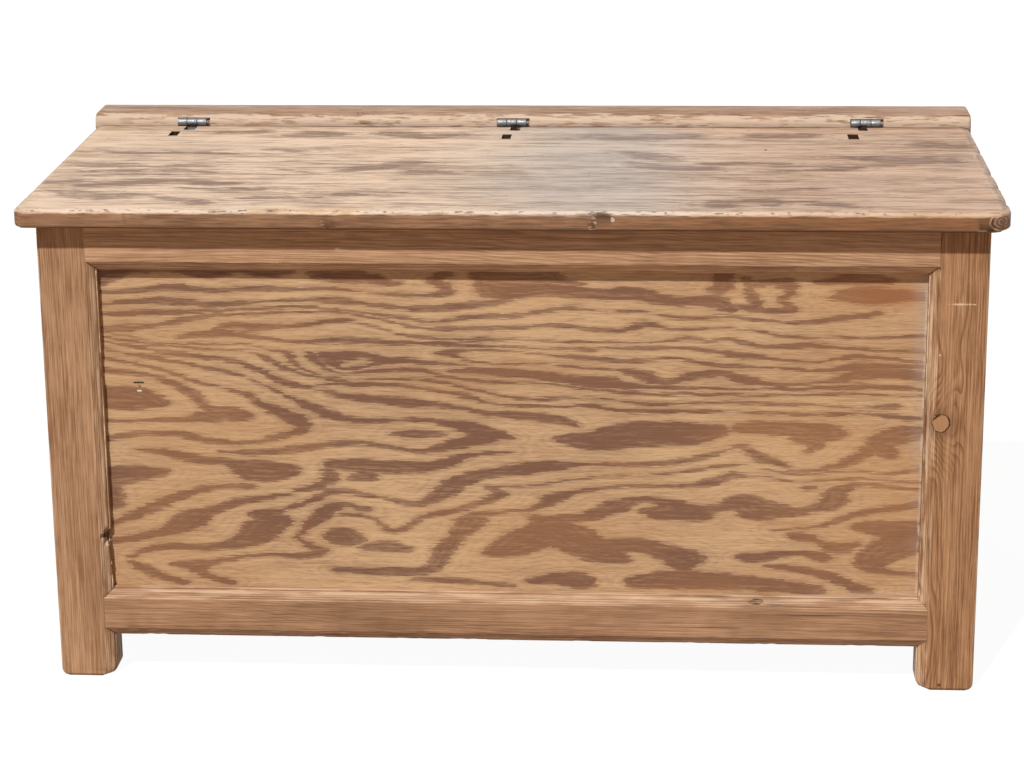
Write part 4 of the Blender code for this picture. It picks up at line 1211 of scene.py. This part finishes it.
NOSE_PALE = (0.400, 0.246, 0.158)
NOSE_DARK = (0.176, 0.094, 0.052)
NOSE_CREAM = (0.528, 0.388, 0.288)
CURL = ((-0.204, 0.214, 0.577), (0.0042, 0.0065, 0.0065))


def nose_fir(name, seed):
    """Brown fir, rubbed in flakes to cream wood over the round of the nose, with one curl in its figure."""
    material, place = new_finish(name)
    far = (seed * 1.9, seed * 2.7, seed * 1.1)
    _, y, z = axes_of(place)
    hairs, fibres, pores, bands, mottle, stains = top_grain(place, far)
    curl = spot_distance(place, *CURL) + hairs * 0.8
    rings = curl.maths("FRACT").rise(0.2, 0.9) * curl.rise(2.0, 6.0, 1.0, 0.0)
    shade = 0.42 + 0.42 * hairs + 0.46 * fibres + 0.24 * pores + 0.30 * bands + 0.26 * mottle + 0.45 * rings
    colour = tint(shade, NOSE_PALE, NOSE_DARK)
    colour = tint(stains.rise(0.52, 0.78) * 0.45, colour, deeper(NOSE_DARK, 0.80))
    flakes = streaks(place, (30, 230, 230), far)
    bare = y.rise(0.1960, 0.2080, 0.62, -0.22) + flakes * 0.85 + mottle * 0.40
    colour = tint(bare.rise(0.10, 0.58) * z.rise(0.5590, 0.5625) * 0.92, colour, NOSE_CREAM)
    cracks = cloud(place, (26, 420, 420), far, 2.0).rise(0.66, 0.70)
    colour = tint(cracks * 0.55, colour, DIRT_AND_SHADE_BROWN)
    relief = hairs * -0.5 + fibres * 0.3 + flakes * 0.3 - cracks
    set_finish(material, place, colour, 0.52 + 0.20 * hairs, relief, FIR_RELIEF, 0.16)
    return material


fit(nose_rail, "hinge_rail", "carcass", nose_fir("fir_hinge_rail", 3.0))


# Lid: one wide fir board, level, rounded along the front and the ends, paler than the frame from wear and
# scrubbing. Old mortises near the hinges, a splintered front corner and chips along the front edge.
# Late wood of the lid, as strokes of (x, y, half width) in millimetres
LID_WOOD = (
    ((-530, -20, 8), (-500, -32, 12), (-470, -37, 10), (-445, -40, 5)),
    ((-430, -42, 5), (-410, -42, 8), (-390, -38, 6), (-365, -38, 5)),
    ((-470, -64, 3), (-420, -64, 3), (-380, -62, 4), (-360, -68, 3)),
    ((-460, -83, 3), (-420, -80, 3), (-400, -83, 3)),
    ((-490, -92, 3), (-440, -92, 2)),
    ((-535, -122, 8), (-510, -118, 6), (-495, -110, 4)),
    ((-490, -143, 4), (-455, -135, 6), (-430, -125, 6), (-400, -117, 4), (-370, -118, 5), (-345, -128, 10),
     (-330, -125, 6)),
    ((-525, -165, 6), (-500, -170, 12), (-480, -185, 14), (-455, -195, 14), (-430, -200, 6)),
    ((-430, -185, 5), (-410, -185, 6), (-390, -200, 5), (-370, -205, 6), (-350, -212, 6), (-340, -225, 4)),
    ((-380, -155, 3), (-330, -160, 5), (-310, -155, 6), (-290, -160, 3)),
    ((-300, -200, 4), (-270, -195, 5), (-240, -192, 4), (-200, -188, 6), (-180, -178, 8), (-160, -180, 4)),
    ((-275, -55, 2), (-255, -62, 4), (-240, -75, 4), (-228, -82, 2)),
    ((-205, -65, 3), (-180, -50, 7), (-165, -38, 8), (-150, -30, 6)),
    ((-145, -15, 6), (-130, -15, 9), (-115, -17, 5)),
    ((-120, -62, 6), (-110, -60, 8), (-95, -65, 4), (-50, -62, 3), (0, -58, 2)),
    ((-540, 40, 8), (-535, 38, 6)),
    ((-505, 45, 3), (-480, 35, 5), (-460, 32, 4), (-430, 37, 4), (-400, 38, 8), (-380, 35, 6), (-350, 28, 4)),
    ((-300, 55, 3), (-270, 45, 5)),
    ((-370, 155, 6), (-340, 155, 8), (-330, 165, 6)),
    ((-275, 140, 10), (-255, 145, 16), (-245, 135, 10)),
    ((-160, 150, 14), (-120, 130, 12), (-90, 150, 10)),
    ((130, -10, 4), (150, -25, 10), (175, -38, 12), (205, -42, 10), (225, -38, 6)),
    ((230, -15, 8), (260, -12, 8), (300, -15, 6)),
    ((300, -52, 3), (340, -45, 5), (370, -42, 10), (385, -35, 8), (400, -28, 4), (434, -25, 2)),
    ((385, 20, 4), (410, 15, 8), (430, 8, 12), (460, 5, 16), (490, 5, 12), (500, -5, 8)),
    ((130, 45, 4), (150, 30, 10), (165, 15, 12), (180, 0, 6)),
    ((90, 135, 12), (140, 130, 16), (180, 140, 14), (210, 145, 8)),
    ((290, 140, 12), (320, 140, 14), (340, 150, 8)),
    ((480, 95, 8), (510, 85, 12), (520, 75, 6)),
    ((265, -205, 10), (285, -205, 12), (290, -220, 6)),
    ((325, -205, 6), (345, -215, 8), (365, -225, 5)),
    ((235, -215, 8), (230, -235, 4)),
    ((270, -155, 4), (300, -150, 5), (350, -140, 3)),
)
# Old mortises, each as two corners on x and y
OLD_MORTISES = (
    ((-0.443, 0.133), (-0.432, 0.160)),
    ((-0.430, 0.170), (-0.416, 0.192)),
    ((-0.029, 0.118), (-0.017, 0.147)),
    ((-0.021, 0.170), (-0.009, 0.192)),
    ((0.393, 0.122), (0.406, 0.152)),
    ((0.408, 0.172), (0.420, 0.192)),
)
MORTISE_DEEP = 0.005
MORTISE_PROUD = 0.01
MORTISE_GRID = (0.003, 0.004)
MORTISE_TORN = 0.0016
MORTISE_LIP = 0.004
ARRIS_IN = 0.002
ARRIS_DOWN = 0.0008
ARRIS_REACH = 0.0032
BACK_DIRT = 0.006
UNDER_DIRT = 0.0025
RIM_OUT = 0.006
LEFT_OUT = 0.009
END_OUT = 0.011
RIM_TOP = 0.0042
RIM_UNDER = 0.0045
RIM_STEPS = (0.2, 0.4, 0.6, 0.8, 1.0)
LEFT_ROUND = 0.012
CORNER_ROUND = 0.026
LID_FIRST_SLICE = 0.012
LID_SLICES = 267
LID_FIRST_ROW = 0.010
LID_ROW = 0.005
LID_ROWS = 87
LID_RIPPLE = 0.00018
LID_NICK = 0.0019
LID_CHIPS = (
    ((0.104, -0.256, 0.5560), (0.012, 0.014, 0.0080), (0.0, 0.0034, -0.0006), 0.8, 0.6),
    ((0.094, -0.256, 0.5500), (0.004, 0.010, 0.0080), (0.0, 0.0016, 0.0), 0.8, 0.3),
    ((-0.195, -0.256, 0.5450), (0.008, 0.008, 0.0040), (0.0, 0.0016, 0.0), 0.3, 0.2),
    ((0.514, -0.2560, 0.5470), (0.0075, 0.012, 0.0046), (0.0, 0.0050, 0.0), 1.0, 0.0),
    ((0.521, -0.2555, 0.5440), (0.0055, 0.012, 0.0030), (0.0, 0.0030, 0.0), 1.0, 0.0),
    ((0.545, -0.060, 0.5620), (0.006, 0.014, 0.0060), (-0.0012, 0.0, -0.0008), 0.4, 0.2),
    ((0.545, -0.125, 0.5620), (0.006, 0.010, 0.0060), (-0.0011, 0.0, -0.0008), 0.4, 0.2),
    ((0.545, -0.195, 0.5610), (0.006, 0.014, 0.0060), (-0.0013, 0.0, -0.0008), 0.4, 0.2),
    ((0.545, 0.060, 0.5620), (0.005, 0.012, 0.0050), (-0.0010, 0.0, -0.0008), 0.3, 0.2),
    ((-0.320, -0.256, 0.5628), (0.016, 0.010, 0.0030), (0.0, 0.0012, -0.0010), 0.3, 0.0),
    ((-0.255, -0.256, 0.5628), (0.010, 0.010, 0.0030), (0.0, 0.0012, -0.0010), 0.3, 0.0),
    ((-0.420, -0.256, 0.5628), (0.030, 0.010, 0.0035), (0.0, 0.0014, -0.0008), 0.0, 0.0),
)


def rim_lines(edge, width):
    """Lines close together beside an edge that is to be rounded."""
    return [edge + width * step for step in RIM_STEPS]


def round_rim(co):
    """Where a point of the squared lid goes when its edges are rounded and its front corners worn off."""
    core = Vector((
        max(lid_low.x + LEFT_OUT, min(lid_high.x - END_OUT, co.x)),
        max(lid_low.y + RIM_OUT, co.y),
        max(lid_low.z + RIM_UNDER, min(lid_high.z - RIM_TOP, co.z)),
    ))
    rim = (LEFT_OUT if co.x < 0 else END_OUT, RIM_OUT, RIM_TOP if co.z > core.z else RIM_UNDER)
    off = Vector([(a - b) / size for a, b, size in zip(co, core, rim)])
    if off.length < 1e-6:
        off = Vector((0.0, 0.0, 1e-9))
    off *= max(abs(part) for part in off) / off.length
    place = core + Vector([part * size for part, size in zip(off, rim)])
    end, reach, way = (lid_low.x, LEFT_ROUND, -1) if co.x < 0 else (lid_high.x, CORNER_ROUND, 1)
    over = Vector((way * (place.x - end) + reach, lid_low.y + reach - place.y)) / reach
    if min(over) > 0:
        over *= max(over) / over.length
        place.x = end + way * reach * (over.x - 1)
        place.y = lid_low.y + reach * (1 - over.y)
    return place


def lid_marks(square):
    """Wear and dark marks on a point of the squared lid: rubbed arrises, mortises painted dark inside with
    dirt and painted shade, and a dirty back edge.
    """
    side = min(square.x - lid_low.x, lid_high.x - square.x, square.y - lid_low.y)
    down = lid_high.z - square.z
    back = lid_high.y - square.y
    arris = math.hypot(max(0.0, side - ARRIS_IN), max(0.0, down - ARRIS_DOWN))
    rubbed = max(0.0, 1.0 - arris / ARRIS_REACH)
    dirt = 1.0 if down > 0.001 and back < HAIR else 0.0
    for start, stop in OLD_MORTISES:
        over = max(start[0] - square.x, square.x - stop[0], start[1] - square.y, square.y - stop[1])
        # Inside each old mortise is painted near black: dirt, and painted shade in the deep hole.
        if over < 0.0012 and 0.0004 < down < MORTISE_DEEP + 0.002:
            dirt = 1.0
        if 0 < over < MORTISE_LIP and down < HAIR:
            rubbed = max(rubbed, 0.45 * (1 - over / MORTISE_LIP))
    if back < BACK_DIRT and square.z > lid_low.z + HAIR:
        dirt = max(dirt, 0.9 - back / BACK_DIRT + 0.5 * noise.noise(square * 45))
    if square.z < lid_low.z + 0.001 and square.y < lid_low.y + UNDER_DIRT:
        dirt = 0.75
    return rubbed, dirt


lid_low, lid_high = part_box("lid_board")
lid = board("fir_lid_board", lid_low, lid_high)
let_in(lid, hinge_seats())
for number, (start, stop) in enumerate(OLD_MORTISES):
    block = board("mortise", (*start, lid_high.z - MORTISE_DEEP), (*stop, lid_high.z + MORTISE_PROUD))
    for axis, spacing in enumerate(MORTISE_GRID):
        slice_along(block, axis, spacing)
    weather(block, MORTISE_TORN, 0.0, 40.0 + number)
    let_in(lid, [block])
scribe(lid, 2, rim_lines(lid_high.z, -RIM_TOP) + rim_lines(lid_low.z, RIM_UNDER))
scribe(lid, 1, rim_lines(lid_low.y, RIM_OUT) + spaced(lid_low.y + LID_FIRST_ROW, LID_ROW, LID_ROWS))
scribe(lid, 0, rim_lines(lid_low.x, LEFT_OUT) + rim_lines(lid_high.x, -END_OUT))
scribe(lid, 0, spaced(lid_low.x + LID_FIRST_SLICE, SLICE, LID_SLICES))
wear = lid.data.attributes["wear"].data
grime_and_shade = lid.data.attributes["grime_and_shade"].data
for vert in lid.data.vertices:
    wear[vert.index].value, grime_and_shade[vert.index].value = lid_marks(vert.co)
    vert.co = round_rim(vert.co.copy())
knock(lid, LID_CHIPS)
draw_rings(lid, lambda x, y, z: drawn_figure(LID_WOOD, x, y))
weather(lid, LID_RIPPLE, LID_NICK, 31.0)

# Pale and dark tone of each part of the lid
LID_LEFT = ((0.680, 0.490, 0.348), (0.218, 0.134, 0.090))
LID_MIDDLE = ((0.470, 0.388, 0.331), (0.222, 0.168, 0.140))
LID_RIGHT = ((0.522, 0.346, 0.239), (0.180, 0.102, 0.064))
LID_UNDER = ((0.372, 0.216, 0.124), (0.162, 0.082, 0.044))
SCUFFED = ((0.390, 0.278, 0.212), (0.160, 0.100, 0.074))
END_GRAIN = ((0.300, 0.172, 0.104), (0.130, 0.066, 0.038))
# The front edge on the left, on the right and in its dark grain, and the ends
EDGE_LEFT = (0.312, 0.166, 0.092)
EDGE_RIGHT = (0.262, 0.120, 0.053)
EDGE_DARK = (0.150, 0.078, 0.041)
END_BROWN = (0.185, 0.122, 0.092)
EDGE_DEPTH = 0.0044
# The rubbed arris: cream and golden along the front, then towards the right and at the two ends
ARRIS_CREAM = (0.600, 0.478, 0.372)
ARRIS_GOLD = (0.50, 0.300, 0.145)
ARRIS_RIGHT = (0.50, 0.315, 0.185)
ARRIS_RIGHT_END = (0.33, 0.245, 0.205)
ARRIS_LEFT_END = (0.42, 0.28, 0.19)
LEFT_GOLD = (0.50, 0.325, 0.165)
END_RUBBED = (0.60, 0.45, 0.34)
PALE_SPECK = (0.70, 0.62, 0.54)
UNDER_STAIN = (0.150, 0.084, 0.050)
ROLL_PALE = (0.520, 0.345, 0.225)
ROLL_DARK = (0.060, 0.028, 0.015)
ROLL = ((0.5335, -0.2480, 0.5535), (0.0150, 0.0230, 0.0105))
NAIL_PLACE = (0.291, 0.060)
NAIL_REACH = (0.0024, 0.0036, 0.004)


def lid_fir(name, seed):
    """Faded fir: torn islands of late wood on top, greyer in the middle and browner to the right, brown
    edges, a pale rubbed arris with dark nicks, end grain at the broken corner, and an unworn underside."""
    material, place = new_finish(name)
    far = (seed * 1.9, seed * 2.7, seed * 1.1)
    x, y, z = axes_of(place)
    hairs, fibres, pores, bands, mottle, stains = top_grain(place, far)
    comb = streaks(place, (38, 200, 200), far)
    lap = streaks(place, (13, 75, 75), far)
    ring = marks_of(place, "ring")
    torn = ring + comb * 6.5 + lap * 4.5
    late = torn.rise(-1.6, 1.8)
    echo = (ring * 0.16 + lap * 0.5).maths("FRACT")
    echo = echo.rise(0.25, 0.80) * echo.rise(0.84, 1.0, 1.0, 0.0) * ring.rise(-25.0, -8.0)
    line = (y * 75.0 + cloud(place, (2.4, 13, 13), far, 3.0) * 10.0).maths("FRACT")
    line = line.rise(0.45, 0.90) * line.rise(0.93, 1.0, 1.0, 0.0) * bands.rise(-0.35, 0.30)
    shade = 0.24 + 0.44 * hairs + 0.42 * fibres + 0.24 * pores + 0.26 * bands + 0.24 * mottle
    shade = shade + 0.52 * late + 0.14 * torn.rise(-9.0, 0.0) + 0.16 * echo + 0.30 * line
    greyed = x.rise(-0.14, 0.08) * x.rise(0.12, 0.30, 1.0, 0.0) * (0.42 + 0.9 * stains)
    browned = x.rise(0.12, 0.32)
    pale, dark = [
        tint(browned, tint(greyed, left, middle), right)
        for left, middle, right in zip(LID_LEFT, LID_MIDDLE, LID_RIGHT)
    ]
    colour = tint(shade, pale, dark)
    colour = tint(x.rise(-0.545, -0.49, 0.45, 0.0) * (mottle + 0.5), colour, LEFT_GOLD)
    colour = tint(stains.rise(0.52, 0.78) * 0.35, colour, dark)
    end = x + (cloud(place, (40, 40, 40), far, 4.0, 0.7) - 0.5) * 0.016
    scuffed = tint(0.5 + 0.8 * fibres + 0.6 * mottle, *SCUFFED)
    colour = tint(end.rise(0.5345, 0.5400) * 0.80, colour, scuffed)
    rubbed_end = strip_mask(end, 0.5345, 0.0005, 0.0012) * lap.rise(0.0, 0.3)
    colour = tint(rubbed_end * 0.45, colour, END_RUBBED)
    specks = cloud(place, (90, 160, 160), far, 2.0)
    colour = tint(specks.rise(0.70, 0.74) * 0.5, colour, DIRT_AND_SHADE_BROWN)
    colour = tint(specks.rise(0.26, 0.30, 0.6, 0.0) * stains, colour, PALE_SPECK)
    nail = spot_distance(place, (*NAIL_PLACE, lid_high.z), NAIL_REACH).rise(0.7, 1.0, 1.0, 0.0)
    colour = tint(nail, colour, DIRT_AND_SHADE_BROWN)

    border = z + (cloud(place, (70, 70, 300), far, 3.0) - 0.5) * 0.004
    edge_height = lid_high.z - EDGE_DEPTH
    side = border.rise(edge_height - 0.0010, edge_height + 0.0004, 1.0, 0.0)
    fine = streaks(place, (24, 300, 430), far)
    grain = 0.40 + 0.85 * fine + 0.44 * mottle + 0.30 * bands
    brown = tint(grain, tint(x.rise(0.05, 0.30), EDGE_LEFT, EDGE_RIGHT), EDGE_DARK)
    ends = x.maths("ABSOLUTE").rise(0.5425, 0.5445)
    brown = tint(ends * 0.55, brown, END_BROWN)
    roll = spot_distance(place, *ROLL) + lap * 0.10
    rolled = roll.rise(0.98, 1.06, 1.0, 0.0) * y.rise(-0.236, -0.230, 1.0, 0.0)
    arcs = (roll * 3.6 + comb * 0.25).maths("FRACT")
    end_grain = tint(arcs.rise(0.25, 0.90), *END_GRAIN)
    end_grain = tint(strip_mask(roll, 0.96, 0.035, 0.05) * 0.85, end_grain, ROLL_PALE)
    end_grain = tint(strip_mask(roll, 0.82, 0.030, 0.05) * 0.80, end_grain, ROLL_DARK)
    brown = tint(rolled, brown, end_grain)
    colour = tint(side, colour, brown)
    under = z.rise(lid_low.z + 0.0006, lid_low.z + 0.0026, 1.0, 0.0)
    unworn = tint(0.22 + 0.55 * line + 0.40 * hairs + 0.34 * bands + 0.30 * pores, *LID_UNDER)
    unworn = tint(stains.rise(0.50, 0.80) * 0.4, unworn, UNDER_STAIN)
    colour = tint(under, colour, unworn)

    golden = cloud(place, (9, 9, 9), (far[2], far[0], far[1]), 2.0).rise(0.50, 0.60)
    worn_tone = tint(golden * 0.8, ARRIS_CREAM, ARRIS_GOLD)
    worn_tone = tint(x.rise(0.528, 0.540), worn_tone, ARRIS_RIGHT_END)
    worn_tone = tint(x.rise(0.12, 0.40) * 0.6, worn_tone, ARRIS_RIGHT)
    worn_tone = tint(x.rise(-0.545, -0.515, 0.8, 0.0), worn_tone, ARRIS_LEFT_END)
    wear = marks_of(place, "wear")
    flakes = streaks(place, (60, 300, 300), far)
    rubbed = (wear + flakes * 0.9).rise(0.30, 0.62) * wear.rise(0.0, 0.2) * (1.0 - rolled * side)
    colour = tint(rubbed * 0.95, colour, worn_tone)
    nicks = wear * cloud(place, (110, 240, 240), far, 2.0).rise(0.58, 0.63)
    colour = tint(nicks * 0.70, colour, DIRT_AND_SHADE_BROWN)
    # These marks paint dirt on the back edge and under the front, and dirt with painted shade inside the old
    # mortises.
    colour = tint(marks_of(place, "grime_and_shade"), colour, DIRT_AND_SHADE_BROWN)
    relief = hairs * -0.5 - late * 0.4 + fibres * 0.3 + flakes * 0.2 - arcs * (rolled * side)
    set_finish(material, place, colour, 0.50 + 0.20 * hairs, relief, FIR_RELIEF, 0.18)
    return material


fit(lid, "lid_board", "lid", lid_fir("fir_lid", 1.0))


# Battens: two cross strips of the same dry pine as the floor, bevelled at their ends. Each is screwed up into
# the lid from below, across its grain, to keep it flat.
BATTEN_BEVEL = 0.0095
BATTEN_ROUND = 0.0015
BATTEN_NICK = 0.0005
for end in ("left", "right"):
    node = f"lid_batten_{end}"
    low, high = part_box(node)
    batten = board(f"pine_{node}", low, high)
    below = lies_in((2, low.z))
    ease(batten, lambda a, b: below(a, b) and abs(a.x - b.x) > 0.01, BATTEN_BEVEL, 1, 0.0)
    ease(batten, lambda a, b: below(a, b) and abs(a.y - b.y) > 0.01, BATTEN_ROUND, 2, 0.7)
    slice_along(batten, 1, PINE_SLICE)
    weather(batten, PINE_RIPPLE, BATTEN_NICK, 5.0)
    fit(batten, node, "lid", pine_boards)


# Hinges: three steel butt hinges let in between the rail and the lid. Each leaf is sheet steel rolled into
# its knuckles round a loose pin, and all of it is dull and dirty from use.
STEEL_RELIEF = 0.00012


def hinge_metal(name, bright, dirt, rough, seed):
    """Old bare steel: cloudy tone, brown dirt in specks, uneven polish."""
    material, place = new_finish(name)
    far = (seed * 1.3, seed * 2.9, seed * 0.7)
    smear = cloud(place, (260, 900, 900), far, 3.0)
    specks = cloud(place, (700, 700, 700), far, 3.0, 0.6)
    soil = specks.rise(0.52, 0.66) * 0.85
    colour = tint(soil, tint(smear, bright, deeper(bright, 0.62)), dirt)
    shader = material.node_tree.nodes["Principled BSDF"]
    material.node_tree.links.new((1.0 - soil * 0.75).socket, shader.inputs["Metallic"])
    roughness = rough + 0.22 * smear + 0.25 * soil
    set_finish(material, place, colour, roughness, smear * 0.5 - soil, STEEL_RELIEF, 0.5)
    return material


LEAF_STEEL =hinge_metal("steel_leaf", (0.29, 0.287, 0.290), (0.062, 0.043, 0.032), 0.40, 1.0)
PIN_STEEL = hinge_metal("steel_pin", (0.34, 0.32, 0.30), (0.050, 0.034, 0.024), 0.36, 2.0)
BARREL = 0.0049
BARREL_PLAY = 0.0001
BARREL_SKIN = 0.0004
BARREL_ROUND = 0.00045
PIN_HALF = 0.0023
PIN_ROUND = 0.0011
NECK_DROP = 0.0056
NECK_LAP = 0.001
NECK_TOP = 0.0030
NECK_PLAY = 0.0003
LEAF_ROUND = 0.00025
KNUCKLE_ENDS = {"rail_leaf": ((-0.0180, -0.0065), (0.0065, 0.0180)), "lid_leaf": ((-0.0060, 0.0060),)}
LEAF_FACES = {"rail_leaf": (0.0003, 0.0018), "lid_leaf": (-0.0018, -0.0003)}
LEAF_BODIES = {"rail_leaf": "carcass", "lid_leaf": "lid"}


def joined(parts, name):
    """Makes one piece of several."""
    pick(parts[0])
    for part in parts[1:]:
        part.select_set(True)
    bpy.ops.object.join()
    parts[0].name = parts[0].data.name = name
    return parts[0]


def knuckle(start, stop):
    """A rolled tube of sheet steel round the pin, its rims eased."""
    tube = rod("knuckle", BARREL, ((start + stop) / 2, AXIS_Y, AXIS_Z), stop - start, 0, 40, "NOTHING")
    wall = tube.modifiers.new("wall", "SOLIDIFY")
    wall.thickness = BARREL - PIN_HALF - BARREL_PLAY
    wall.offset = -1
    bpy.ops.object.modifier_apply(modifier=wall.name)

    def on_rim(co):
        away = (co.yz - Vector((AXIS_Y, AXIS_Z))).length
        return (same(co.x, start) or same(co.x, stop)) and away > BARREL - BARREL_SKIN

    round_edges(tube, lambda a, b: on_rim(a) and on_rim(b) and same(a.x, b.x), BARREL_ROUND, 3)
    return tube


def leaf_flat(low, high):
    """A flat of the leaf with eased edges."""
    flat = board("leaf_flat", low, high)
    round_edges(flat, lambda a, b: True, LEAF_ROUND, 2)
    return flat


for hinge, x in HINGES.items():
    for leaf, spans in KNUCKLE_ENDS.items():
        near_y, far_y = [AXIS_Y + off for off in LEAF_FACES[leaf]]
        foot, neck = AXIS_Z - LEAF_DROP, AXIS_Z - NECK_DROP
        parts = [leaf_flat((x - HINGE_HALF, near_y, foot), (x + HINGE_HALF, far_y, neck))]
        for start, stop in spans:
            parts.append(knuckle(x + start, x + stop))
            low = (x + start + NECK_PLAY, near_y, neck - NECK_LAP)
            parts.append(leaf_flat(low, (x + stop - NECK_PLAY, far_y, AXIS_Z - NECK_TOP)))
        plate = joined(parts, f"steel_{hinge}_{leaf}")
        smooth(plate, 35)
        fit(plate, f"{hinge}_{leaf}", LEAF_BODIES[leaf], LEAF_STEEL)
    pin = rod(f"steel_{hinge}_pin", PIN_HALF, (x + PIN_SHOW / 2, AXIS_Y, AXIS_Z), PIN_LONG, 0, 32)
    round_edges(pin, lambda a, b: same(a.x, b.x), PIN_ROUND, 4)
    smooth(pin)
    fit(pin, f"{hinge}_pin", "carcass", PIN_STEEL)


# Screws: slotted countersunk wood screws of steel, two to each leaf and two to each batten, modelled once in
# each size and turned home with their slots at different angles.
SCREW_STEEL = hinge_metal("steel_screw", (0.44, 0.42, 0.40), (0.065, 0.042, 0.028), 0.34, 3.0)
HEAD_LINE = 0.0002
HEAD_RIM = 0.0003
CONE_DEEP = 0.72
SHANK = 0.45
CORE = 0.33
PITCH = 0.0006
THREAD_START = 0.0010
THREAD_STOP = 0.0014
SHANK_START = 0.0005
POINT = 0.004
SLOT_LONG = 1.3
SLOT_DEEP = 0.30
SLOT_HALF = 0.13
SLOT_PROUD = 0.001
SLOT_TURN = 0.9


def slotted_screw(name, head, length):
    """A screw along y with its head at the origin: countersunk, slotted, with a ridged shank and a point."""
    screw = rod(name, head, (0, length / 2, 0), length, 1, 24)
    cone = head * CONE_DEEP
    ridges = spaced(cone + THREAD_START, PITCH, round((length - cone - THREAD_STOP) / PITCH))
    scribe(screw, 1, [HEAD_LINE, cone, *ridges])
    for vert in screw.data.vertices:
        down = vert.co.y
        share = 1.0 if down < HEAD_RIM else max(SHANK, 1.0 - (1.0 - SHANK) * down / cone)
        if down > cone + SHANK_START:
            share = SHANK if round((down - cone - THREAD_START) / PITCH) % 2 else CORE
            share *= min(1.0, 0.15 + (length - down) / POINT)
        vert.co.x *= share
        vert.co.z *= share
    low = (-head * SLOT_LONG, -SLOT_PROUD, -head * SLOT_HALF)
    let_in(screw, [board("slot", low, (head * SLOT_LONG, head * SLOT_DEEP, head * SLOT_HALF))])
    smooth(screw, 30)
    return screw


def drive(model, node, turn, body):
    """Sets a copy of a screw where its node is: turn stands its y along the way it is driven."""
    low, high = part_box(node)
    middle = (low + high) / 2
    sizes = high - low
    along = max(range(3), key=lambda index: sizes[index])
    forward = turn @ Vector((0, 1, 0))
    middle[along] = low[along] if forward[along] > 0 else high[along]
    screw = model.copy()
    screw.data = model.data.copy()
    screw.name = screw.data.name = f"steel_{node}"
    scene.collection.objects.link(screw)
    screw.data.transform(Matrix.Translation(middle) @ turn.to_4x4())
    fit(screw, node, body, SCREW_STEEL)


leaf_screw = slotted_screw("leaf_screw", 0.0032, 0.014)
batten_screw = slotted_screw("batten_screw", 0.0038, 0.030)
to_back = Matrix.Rotation(0.0, 3, "Z")
to_front = Matrix.Rotation(math.pi, 3, "Z")
upward = Matrix.Rotation(math.pi / 2, 3, "X")
rows = []
for hinge in HINGES:
    rows.append((leaf_screw, f"{hinge}_rail", to_back, "carcass"))
    rows.append((leaf_screw, f"{hinge}_lid", to_front, "lid"))
for end in ("left", "right"):
    rows.append((batten_screw, f"batten_{end}", upward, "lid"))
turned = 0
for model, row, way, body in rows:
    for number in (1, 2):
        turned += 1
        drive(model, f"{row}_screw_{number}", way @ Matrix.Rotation(turned * SLOT_TURN, 3, "Y"), body)
for model in (leaf_screw, batten_screw):
    bpy.data.objects.remove(model)


# Dowels: four birch dowels with chamfered ends. They are glued blind between the back top rail and the hinge
# rail and hold the rail down.
DOWELS = 4
DOWEL_CHAMFER = 0.0008
BIRCH_RELIEF = 0.0002
BIRCH_PALE = (0.66, 0.48, 0.30)
BIRCH_DARK = (0.46, 0.29, 0.16)


def dowel_birch(name, seed):
    """Close pale birch with faint grain along the dowel."""
    material, place = new_finish(name)
    far = (seed, seed, seed)
    grain = cloud(place, (700, 700, 30), far, 3.0)
    rings = cloud(place, (260, 260, 8), far, 2.0)
    colour = tint(0.5 * grain + 0.5 * rings, BIRCH_PALE, BIRCH_DARK)
    set_finish(material, place, colour, 0.5 + 0.2 * grain, grain, BIRCH_RELIEF)
    return material


birch = dowel_birch("birch_dowel", 5.0)
for number in range(1, DOWELS + 1):
    node = f"hinge_rail_dowel_{number}"
    low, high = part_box(node)
    dowel = rod(f"birch_{node}", (high.x - low.x) / 2, (low + high) / 2, high.z - low.z, 2, 32)
    round_edges(dowel, lambda a, b: same(a.z, b.z), DOWEL_CHAMFER, 2)
    smooth(dowel)
    fit(dowel, node, "carcass", birch)
